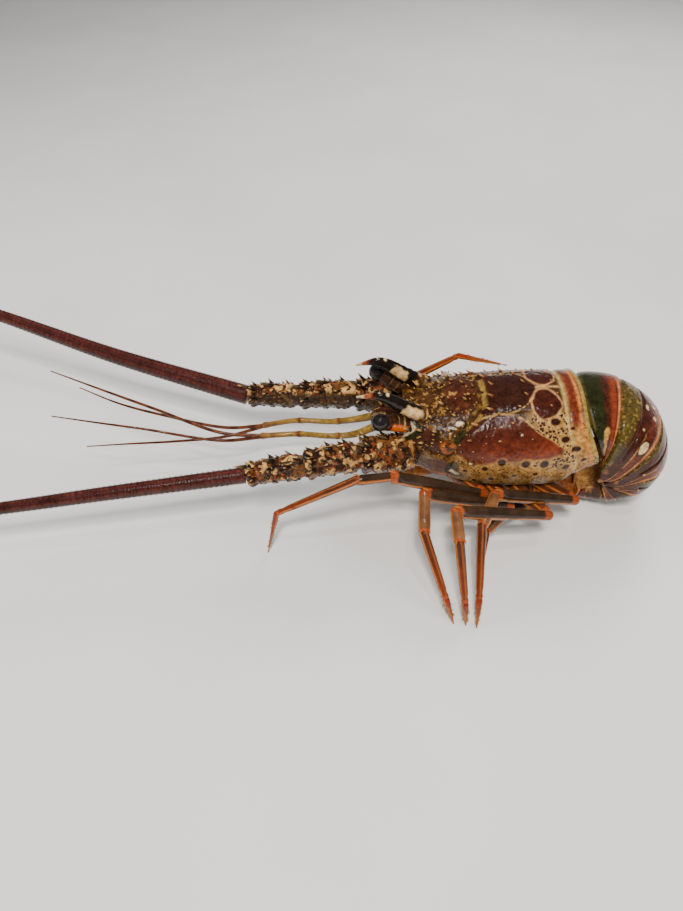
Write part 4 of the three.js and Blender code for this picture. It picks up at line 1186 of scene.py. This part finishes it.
def ring_section(s, half, top, waist, edge, belly, tooth):
    """A hoop's section: its arch, the side flap down to its point, and the soft underside."""
    out, up = arched(s, half, top, waist, edge, belly)
    wall = ((s - ARCH_END) / (WALL_END - ARCH_END)).clip(0, 1)
    up = np.where(s > ARCH_END, waist + (edge - tooth - waist) * wall, up)
    under = ((s - WALL_END) / (1 - WALL_END)).clip(0, 1)
    fold = (under / FOLD_SHARE).clip(0, 1)
    beyond = ((under - FOLD_SHARE) / (1 - FOLD_SHARE)).clip(0, 1)
    inner = half * (EDGE_SHARE - 0.07 * fold)
    belly_out = inner * (1 - beyond)
    flap_up = edge - tooth + (belly - edge + tooth) * np.sin(fold * math.pi / 2)
    out = np.where(s > WALL_END, belly_out, out)
    up = np.where(s > WALL_END, flap_up + 2 * (under > FOLD_SHARE) * np.sin(beyond * math.pi), up)
    return out, up


SWIMMERET_RADII = [1.6, 2.3, 2, 0.7]
ring_skin = shell_finish("tail_ring_shell", dots=1.9, relief=0.24)
# Small white dots on each ring: place along it, share round it, size
FEW_DOTS = [(0.58, 0.23, 1.2), (0.7, 0.07, 1.5), (0.6, 0.52, 1.1)]
SMALL_DOTS = [[(0.52, 0.5, 0.9)], [(0.74, 0.06, 2), (0.55, 0.01, 1.6), (0.53, 0.23, 1.4)], *[FEW_DOTS] * 4]
for number in range(6):
    begin, end = RING_ENDS[number], RING_ENDS[number + 1]
    start = begin - (UNDERLAP if number else 0)

    def ring_place(t, a, number=number, begin=begin, end=end, start=start):
        s, side = roundness(a), np.where(a < 0.5, 1, -1)
        degrees = start + (end - start) * inside_ends(t, RING_END)
        along = (degrees - begin) / (end - begin)
        tail = (degrees - TAIL_START) / (TAIL_END - TAIL_START)
        half, radius = run(TAIL_HALF_WIDTHS, tail), run(TAIL_RADII, tail)
        lift = -2.3 + 2.3 * smooth(along, -0.02, 0.13) + 0.5 * smooth(along, 0.4, 0.85)
        lift -= 0.8 * peak(along, 0.46, 0.035) * (s < 0.55) * (number > 0)
        lift -= 0.55 * peak(along, 0.9, 0.02) * (s < WALL_END)
        lift -= 0.9 * smooth(along, 0.975, 1.0)
        slope = np.where(along > PLEURON_AT, BEHIND_PLEURON, BEFORE_PLEURON)
        tooth = PLEURON_LONG[number] * np.clip(1 - np.abs(along - PLEURON_AT) / slope, 0, 1) ** 0.9
        edge = run(TAIL_EDGE_RADII, tail)
        tooth = np.minimum(tooth, np.maximum(edge - PLEURON_TIP_RADIUS, 0))
        out, up = ring_section(
            s, half + lift, radius + lift, radius - 0.62 * half, edge, run(TAIL_BELLY_RADII, tail), tooth
        )
        points = curl_point(degrees, up, side * out)
        for cap, at in ((t / RING_END, start), ((1 - t) / RING_END, end)):
            g = cap.clip(0, 1)[:, None] ** 0.8
            place = (at - TAIL_START) / (TAIL_END - TAIL_START)
            heart = (run(TAIL_RADII, np.array(place)) + run(TAIL_BELLY_RADII, np.array(place))) / 2
            inward = 3.0 * (1 - g[:, 0]) * (1 if at == start else -1)
            middle = curl_point(np.full(len(t), float(at)), np.full(len(t), heart), t * 0, inward * (cap < 1))
            points = np.where(cap[:, None] < 1, middle + (points - middle) * g, points)
        return points

    def ring_paint(t, a, points, number=number, begin=begin, end=end, start=start):
        s = roundness(a)
        along = (start + (end - start) * inside_ends(t, RING_END) - begin) / (end - begin)
        wide = math.radians(end - begin) * RING_CURL_MM
        wander = along + grain(points, 5, 60) * 0.02
        flecks = grain(points, 1.8, 61)
        coat = Paint(points, (0.07, 0.02, 0.012), 0.5, 6, 62)
        if number == 0:
            coat.lay((0.24, 0.05, 0.022), smooth(wander, 0.62, 0.74))
            coat.lay(GREEN, wane(wander, 0.46, 0.58))
            coat.lay((0.2, 0.2, 0.06), wane(wander, 0.06, 0.2) * wane(s, 0.3, 0.5) * 0.8)
            wedge = bump((wander - 0.5 - 0.5 * (0.5 - s)) / 0.13) * smooth(s, 0.3, 0.42)
            coat.lay((0.62, 0.4, 0.13), smooth(wedge + 0.25 * flecks, 0.4, 0.8))
        else:
            reach = wander + 0.25 * s
            fore = wane(reach, 0.38, 0.46) if number == 1 else wane(reach, 0.24, 0.32)
            coat.lay((0.1, 0.085, 0.024), fore)
            coat.lay((0.45, 0.33, 0.1), fore * smooth(grain(points, 1.3, 64) + 0.3 * flecks, 0.2, 0.6) * 0.6)
            coat.lay((0.16, 0.035, 0.018), smooth(wander, 0.6, 0.72) * 0.8)
            fine_line = bump((along - 0.6 - 0.1 * s) / 0.02) * smooth(s, 0.2, 0.34)
            coat.lay((0.6, 0.34, 0.14), fine_line * coat.blots(5, 65, -0.8, -0.2) * 0.8)
        coat.lay((0.05, 0.014, 0.01), peak(along, 0.86, 0.02) * 0.8)
        coat.lay((0.7, 0.33, 0.15), peak(along, 0.925, 0.024))
        coat.lay((0.3, 0.09, 0.04), smooth(along, 0.96, 0.98))
        sides = smooth(s, 0.6, 0.7)
        coat.lay((0.4, 0.18, 0.06), sides * coat.blots(3, 63, 0.1, 0.4) * 0.6)
        coat.lay((0.7, 0.5, 0.22), smooth(s, 0.75, 0.79) * peak(along, 0.6, 0.12))
        if number in (1, 5):
            at = 0.74 if number == 1 else 0.5
            d = np.hypot((along - at) * wide / 4, (s - 0.37) * RING_ROUND_MM / 7.4)
            coat.lay(BLACK, wane(d, 1.05, 1.4) * 0.8)
            coat.lay(WHITE, wane(d, 0.88, 1.0))
        for at, share, size in SMALL_DOTS[number]:
            d = np.hypot((along - at) * wide, (s - share) * RING_ROUND_MM) / size
            coat.lay(WHITE, wane(d, 0.8, 1.0) * 0.9)
        coat.lay((0.6, 0.36, 0.15), smooth(s, WALL_END, WALL_END + 0.04))
        return coat.tint, 0.36 * (s < WALL_END) * (1 - 0.5 * (along > 0.4))

    ring = Piece()
    ring.shell(110, 190, ring_place, ring_paint)
    tip_at = begin + (end - begin) * PLEURON_AT
    tail = np.array((tip_at - TAIL_START) / (TAIL_END - TAIL_START))
    half, belly = float(run(TAIL_HALF_WIDTHS, tail)), float(run(TAIL_BELLY_RADII, tail))
    if 0 < number < 5:
        across = yawed(np.array([[0.0, 1.0, 0.0]]), np.array([tip_at]))[0]
        for side in (-1, 1):
            bones = ((8, belly + 4, 0.42), (6, belly - 4, 0.46), (5, belly - 8, 0.4), (4, 8.5, 0.3))
            leaf = [
                curl_point([tip_at - back], np.array([radius]), np.array([side * half * wide]))[0]
                for back, radius, wide in bones
            ]
            shape = Limb(leaf, SWIMMERET_RADII, wide=0.5, up=across)

            def leaf_paint(t, a, points):
                coat = Paint(points, (0.55, 0.2, 0.06), 0.2, 2, 66)
                coat.lay((0.8, 0.6, 0.3), smooth(t, 0.75, 0.95))
                return coat.tint, 0.0

            ring.shell(30, 20, shape.place, leaf_paint)
    ring.finish(f"abdomen_{number + 1}", ring_skin, "maroon_shell" if number % 2 else "olive_shell")

# ---------------------------------------------------------------- Tail fan
# Five overlapping blades: a hard root plate, then leathery ribbed skin. Orange at the root,
# an olive-black band, a cream band and a dark fringe. They lie flat under the breast.
FAN_ENDS = {
    "telson": ((-6, 0, 2.9), (-64, 0, 2.6), [12, 14, 17, 15], [4, 3, 2.4, 1.6]),
    "uropod_inner": ((-5, 15, 5.4), (-62, 22, 5.2), [6, 12, 14, 10], [3.4, 2.2, 1.8, 1.4]),
    "uropod_outer": ((-4, 17, 8.4), (-58, 32, 8.2), [6, 12, 14, 10], [3.4, 2.2, 1.8, 1.4]),
}
BLADE_END = 0.02
fan_skin = shell_finish("tail_fan_skin", dots=1.2, gloss=0.4, relief=0.12, grit=0.4)
FAN_BANDS = [
    (0, (0.42, 0.15, 0.05)), (0.3, (0.55, 0.22, 0.06)), (0.38, (0.66, 0.5, 0.2)),
    (0.46, (0.1, 0.07, 0.03)), (0.68, (0.06, 0.045, 0.03)), (0.76, (0.5, 0.18, 0.06)),
    (0.88, (0.7, 0.45, 0.2)), (0.95, (0.2, 0.05, 0.03)), (1, (0.5, 0.35, 0.2)),
]
for name, (root, tip, widths, depths) in FAN_ENDS.items():
    for side in ((0,) if name == "telson" else (-1, 1)):
        turned = yawed(np.array(on_side((root, tip), side or 1), float), np.array([TAIL_END] * 2))
        ahead = unit(turned[1] - turned[0])
        across = unit(np.cross(ahead, (0, 0, 1)))

        def blade_place(t, a, turned=turned, across=across, widths=widths, depths=depths):
            turn = a * 2 * math.pi
            f, size = inside_ends(t, BLADE_END), closed_ends(t)
            half, deep = run(widths, f) * size, run(depths, f) / 2 * size
            u, w = np.sin(turn), np.cos(turn)
            ribs = 0.18 * np.abs(np.sin(u * half * 2.2)) * smooth(f, 0.3, 0.4) * (np.abs(w) > 0.2)
            points = turned[0] + (turned[1] - turned[0]) * f[:, None] + across * (u * half)[:, None]
            points[:, 2] += np.sign(w) * (deep - ribs * size) * np.abs(w) ** 0.6
            return points

        def blade_paint(t, a, points):
            coat = Paint(points, banded(t + grain(points, 4, 70) * 0.03, FAN_BANDS), 0.2, 1.5, 71)
            return coat.tint, 0.3

        blade = Piece()
        blade.shell(110, 120, blade_place, blade_paint)
        node = name if name == "telson" else f"{name}_{'left' if side < 0 else 'right'}"
        blade.finish(node, fan_skin, "tail_fan")

# ---------------------------------------------------------------- Mouthparts
# A block of jaws under the head with a pair of small bristly limbs folded before it.
# Shell, orange and cream, with stiff bristles on the limbs' inner edges.
BRISTLE_BANDS, BRISTLE_RADIUS = [(0, (0.5, 0.3, 0.12)), (1, (0.6, 0.4, 0.2))], 0.25
MOUTH_PATH, MOUTH_RADII = [(-116, 0, 36), (-130, 0, 40), (-138, 0, 45)], [6, 8, 5]
MAXILLIPED_PATH = [(-113, 14, 33), (-130, 15, 29), (-146, 12, 34), (-143, 9, 42)]
MAXILLIPED_RADII = [4, 3.8, 3, 1.4]
MAXILLIPED_BRISTLES = 40


def mouth_relief(f, a):
    """Clefts between the jaws."""
    return -0.8 * np.abs(np.cos(f * math.pi * 4)) * (f > 0.1)


def mouth_paint(t, a, points):
    coat = Paint(points, (0.55, 0.36, 0.16), 0.2, 3, 80)
    coat.lay((0.4, 0.13, 0.05), smooth(np.abs(np.cos(t * math.pi * 4)), 0.7, 0.95))
    return coat.tint, 0.3


mouth = Piece()
mouth_shape = Limb(MOUTH_PATH, MOUTH_RADII, wide=1.3, domes=(2, 3), relief=mouth_relief)
mouth.shell(70, 60, mouth_shape.place, mouth_paint)
mouth.finish("mouth", under_skin, "pale_underside")
for side_name, side in SIDES:
    maxilliped = Piece()
    shape = Limb(on_side(MAXILLIPED_PATH, side), MAXILLIPED_RADII, domes=(1.5, 1))

    def maxilliped_paint(t, a, points):
        coat = Paint(points, (0.52, 0.22, 0.08), 0.2, 3, 81)
        joints = peak(t, 0.36, 0.02) + peak(t, 0.74, 0.02)
        coat.lay((0.75, 0.52, 0.25), joints)
        return coat.tint, 0.3

    f, turn = np.linspace(0.45, 0.97, MAXILLIPED_BRISTLES), np.full(MAXILLIPED_BRISTLES, 0.5)
    lengths, radii = np.full(len(f), 1.8), np.full(len(f), BRISTLE_RADIUS)
    thorns(maxilliped, shape.point(f, turn), shape.out(f, turn), lengths, radii, BRISTLE_BANDS)
    maxilliped.shell(80, 28, shape.place, maxilliped_paint)
    maxilliped.finish(f"maxilliped_{side_name}", under_skin, "orange_shell")

# ---------------------------------------------------------------- Walking legs
# Ten jointed legs without pincers. Slate shell with orange and cream lines along it, orange
# at the joints, and a bristly toe. The front right leg is folded up beside the head.
HIP_X = [-105, -88, -72, -57, -42]
HIP_Z = 33
LEG_POSES = {
    "left_1": [(-86, -46, 43), (-149, -50, 66), (-172, -55, 68), (-223, -56, 35), (-231, -64, -0.4)],
    "left_2": [(-68, -50, 35), (-127, -55, 54.5), (-128, -79, 44), None, (-108, -118, -0.4)],
    "left_3": [(-45, -60, 38), (-108, -68, 53), (-107, -88, 46), None, (-100.5, -119, -0.4)],
    "left_4": [(-24, -46, 36), (-80, -52, 50), (-91, -73, 43.5), None, (-94, -121, -0.4)],
    "left_5": [(-44, -36, 25), (-67, -45, 20), (-81, -57, 15), None, (-87, -78, -0.4)],
    "right_1": [(-84, 47, 40), (-134, 47, 50), (-128, 47, 62), (-97, 48, 82), (-60, 49, 72)],
    "right_2": [(-68, 50, 36), (-116, 55, 45), (-119, 73, 34), None, (-112, 108, -0.4)],
    "right_3": [(-47, 53, 36), (-97, 62, 46), (-98, 80, 34), None, (-92, 113, -0.4)],
    "right_4": [(-27, 48, 36), (-66, 62, 43), (-62, 79, 32), None, (-50, 109, -0.4)],
    "right_5": [(-26, 42, 27), (8, 54, 30), (24, 57, 23), None, (50, 60, -0.4)],
}
COXA_RADII = [6.4, 5.4, 4.6]
MERUS_RADII = [4.3, 4.9, 5.1]
CARPUS_RADII = [3.6, 3.9, 4.1]
PROPODUS_RADII = [3.6, 3.2, 2.7]
DACTYL_RADII = [2.6, 1.6, 0.6]
LEG_TUCK = 3.5
TOE_BRISTLES, BRISTLE_LEAST_Z = 70, 4
WRIST_THORNS_AT, ELBOW_THORNS_AT = np.array([0.93, 0.93]), np.array([0.95, 0.95])
# How slim the first and the last legs are beside the others
SLIM = {"1": 0.84, "5": 0.82}
JOINT_BANDS = [(0, (0.5, 0.12, 0.03)), (0.6, (0.66, 0.24, 0.06)), (1, (0.75, 0.45, 0.2))]
leg_skin = shell_finish("leg_shell", dots=1.5, gloss=0.25, relief=0.1, blister=1.4, plain=0.6)


def leg_joint(start, end, radii, wide=1.0, tuck=LEG_TUCK, flare=0.6):
    """One part of a leg: its root tucks into the part before, its end flares into two pivots."""
    start, end = np.array(start, float), np.array(end, float)

    def pivots(f, a):
        ridge = np.abs(np.cos(a * 2 * math.pi + 0.5)) ** 4
        return (0.1 + flare * ridge) * peak(f, 0.97, 0.04) - 0.35 * peak(f, 0.9, 0.04)

    return Limb([start - unit(end - start) * tuck, end], radii, wide=wide, domes=(2.5, 3), relief=pivots)


def leg_paint(ground, stripes, joint, fade=None, root=0.0):
    """Paint for one part of a leg: its ground colour, the stripes along it and its joint."""

    def paint(t, a, points):
        coat = Paint(points, ground, 0.4, 5, 90)
        if fade:
            coat.lay(fade, smooth(t + 0.12 * grain(points, 9, 94), 0.25, 0.8))
        wander = a + grain(points, 9, 91) * 0.012
        for middle, width, colour in stripes:
            off = np.abs((wander - middle + 0.5) % 1 - 0.5)
            coat.lay(colour, smooth(bump(off / width), 0.3, 0.7) * coat.blots(4, 93, -1, -0.3))
        ends = smooth(t + 0.02 * grain(points, 2, 95), 0.94, 0.96)
        ends = np.maximum(ends, root * wane(t, 0.1, 0.13))
        coat.lay(joint, ends)
        return coat.tint, 0.3

    return paint


ORANGE_LINE = (0.66, 0.25, 0.06)
PINK_LINE = (0.7, 0.3, 0.11)
JOINT_RED = (0.46, 0.11, 0.035)
SLATE = (0.05, 0.034, 0.026)
for name, (knee, elbow, wrist, heel, toe) in LEG_POSES.items():
    side_name, number = name.split("_")
    side = -1 if side_name == "left" else 1
    turned = (lambda a: a) if side < 0 else (lambda a: 1 - a)
    hip = np.array((HIP_X[int(number) - 1], side * 12, HIP_Z), float)
    knee, elbow, wrist, toe = (np.array(point, float) for point in (knee, elbow, wrist, toe))
    bowed = wrist + (toe - wrist) * 0.7 + (0, side * 2.5, 2.5)
    heel = bowed if heel is None else np.array(heel, float)
    slim = SLIM.get(number, 1)
    upper, lower = Piece(), Piece()

    dactyl = leg_joint(heel, toe, np.array(DACTYL_RADII) * slim, tuck=2, flare=0)
    bristle_random = np.random.default_rng(int(number) + 10 * (side > 0))
    f = bristle_random.uniform(0.2, 0.86, TOE_BRISTLES)
    turn = bristle_random.choice((0.1, 0.35, 0.6, 0.85), TOE_BRISTLES)
    turn = turn + bristle_random.normal(0, 0.02, TOE_BRISTLES)
    ways = dactyl.out(f, turn) + 1.1 * dactyl.at(dactyl.ahead, f)
    feet, sizes = dactyl.point(f, turn), bristle_random.uniform(1.2, 2.2, TOE_BRISTLES) * slim
    above = feet[:, 2] > BRISTLE_LEAST_Z
    radii = np.full(above.sum(), BRISTLE_RADIUS)
    thorns(lower, feet[above], ways[above], sizes[above], radii, BRISTLE_BANDS)
    propodus = leg_joint(wrist, heel, np.array(PROPODUS_RADII) * slim, wide=0.9, flare=0.3)
    carpus = leg_joint(elbow, wrist, np.array(CARPUS_RADII) * slim)
    reach, ahead = unit(wrist - elbow), unit(elbow - knee)
    turns = np.array([turned(0.88), turned(0.1)])
    feet, ways = carpus.point(WRIST_THORNS_AT, turns), reach + carpus.out(WRIST_THORNS_AT, turns) * 0.4
    thorns(lower, feet, ways, [3.2 * slim] * 2, [0.9] * 2, JOINT_BANDS)
    edges = [(turned(0.79), 0.05, ORANGE_LINE), (turned(0.2), 0.05, ORANGE_LINE)]
    middle_line = [(turned(0.98), 0.04, (0.36, 0.13, 0.05))]
    toe_paint = leg_paint((0.3, 0.05, 0.02), edges, (0.4, 0.1, 0.03), (0.42, 0.14, 0.04))
    lower.shell(60, 24, dactyl.place, toe_paint)
    shank_paint = leg_paint((0.11, 0.04, 0.022), edges + middle_line, JOINT_RED, (0.26, 0.055, 0.022))
    lower.shell(120, 36, propodus.place, shank_paint)
    wrist_paint = leg_paint(SLATE if number == "1" else (0.24, 0.125, 0.065), edges, JOINT_RED, root=1.0)
    lower.shell(80, 36, carpus.place, wrist_paint)

    bend = hip + (knee - hip) * 0.55 - (0, 0, 2)
    thigh = Limb([hip, bend, knee], COXA_RADII, domes=(2, 4))
    merus = leg_joint(knee, elbow, [3.6, *MERUS_RADII], wide=0.82, flare=0.8)
    turns = np.array([turned(0.78), turned(0.2)])
    feet = np.vstack([elbow - ahead * 3 + (0, 0, 4.2), merus.point(ELBOW_THORNS_AT, turns)])
    ways = np.vstack([ahead + (0, 0, 0.35), ahead + merus.out(ELBOW_THORNS_AT, turns) * 0.3])
    thorns(upper, feet, ways, [5.4, 3.6, 3.6], [1.5, 1, 1], JOINT_BANDS)
    lines = [(0.725, 0.045, PINK_LINE), (0.1, 0.018, ORANGE_LINE), (0.25, 0.03, ORANGE_LINE)]
    lines = [(turned(middle), width, colour) for middle, width, colour in lines]
    upper.shell(60, 30, thigh.place, leg_paint((0.12, 0.045, 0.025), lines, JOINT_RED))
    upper.shell(150, 48, merus.place, leg_paint(SLATE, lines, JOINT_RED, root=0.8))
    upper.finish(f"leg_{name}_upper", leg_skin, "slate_leg")
    lower.finish(f"leg_{name}_lower", leg_skin, "red_brown_leg")
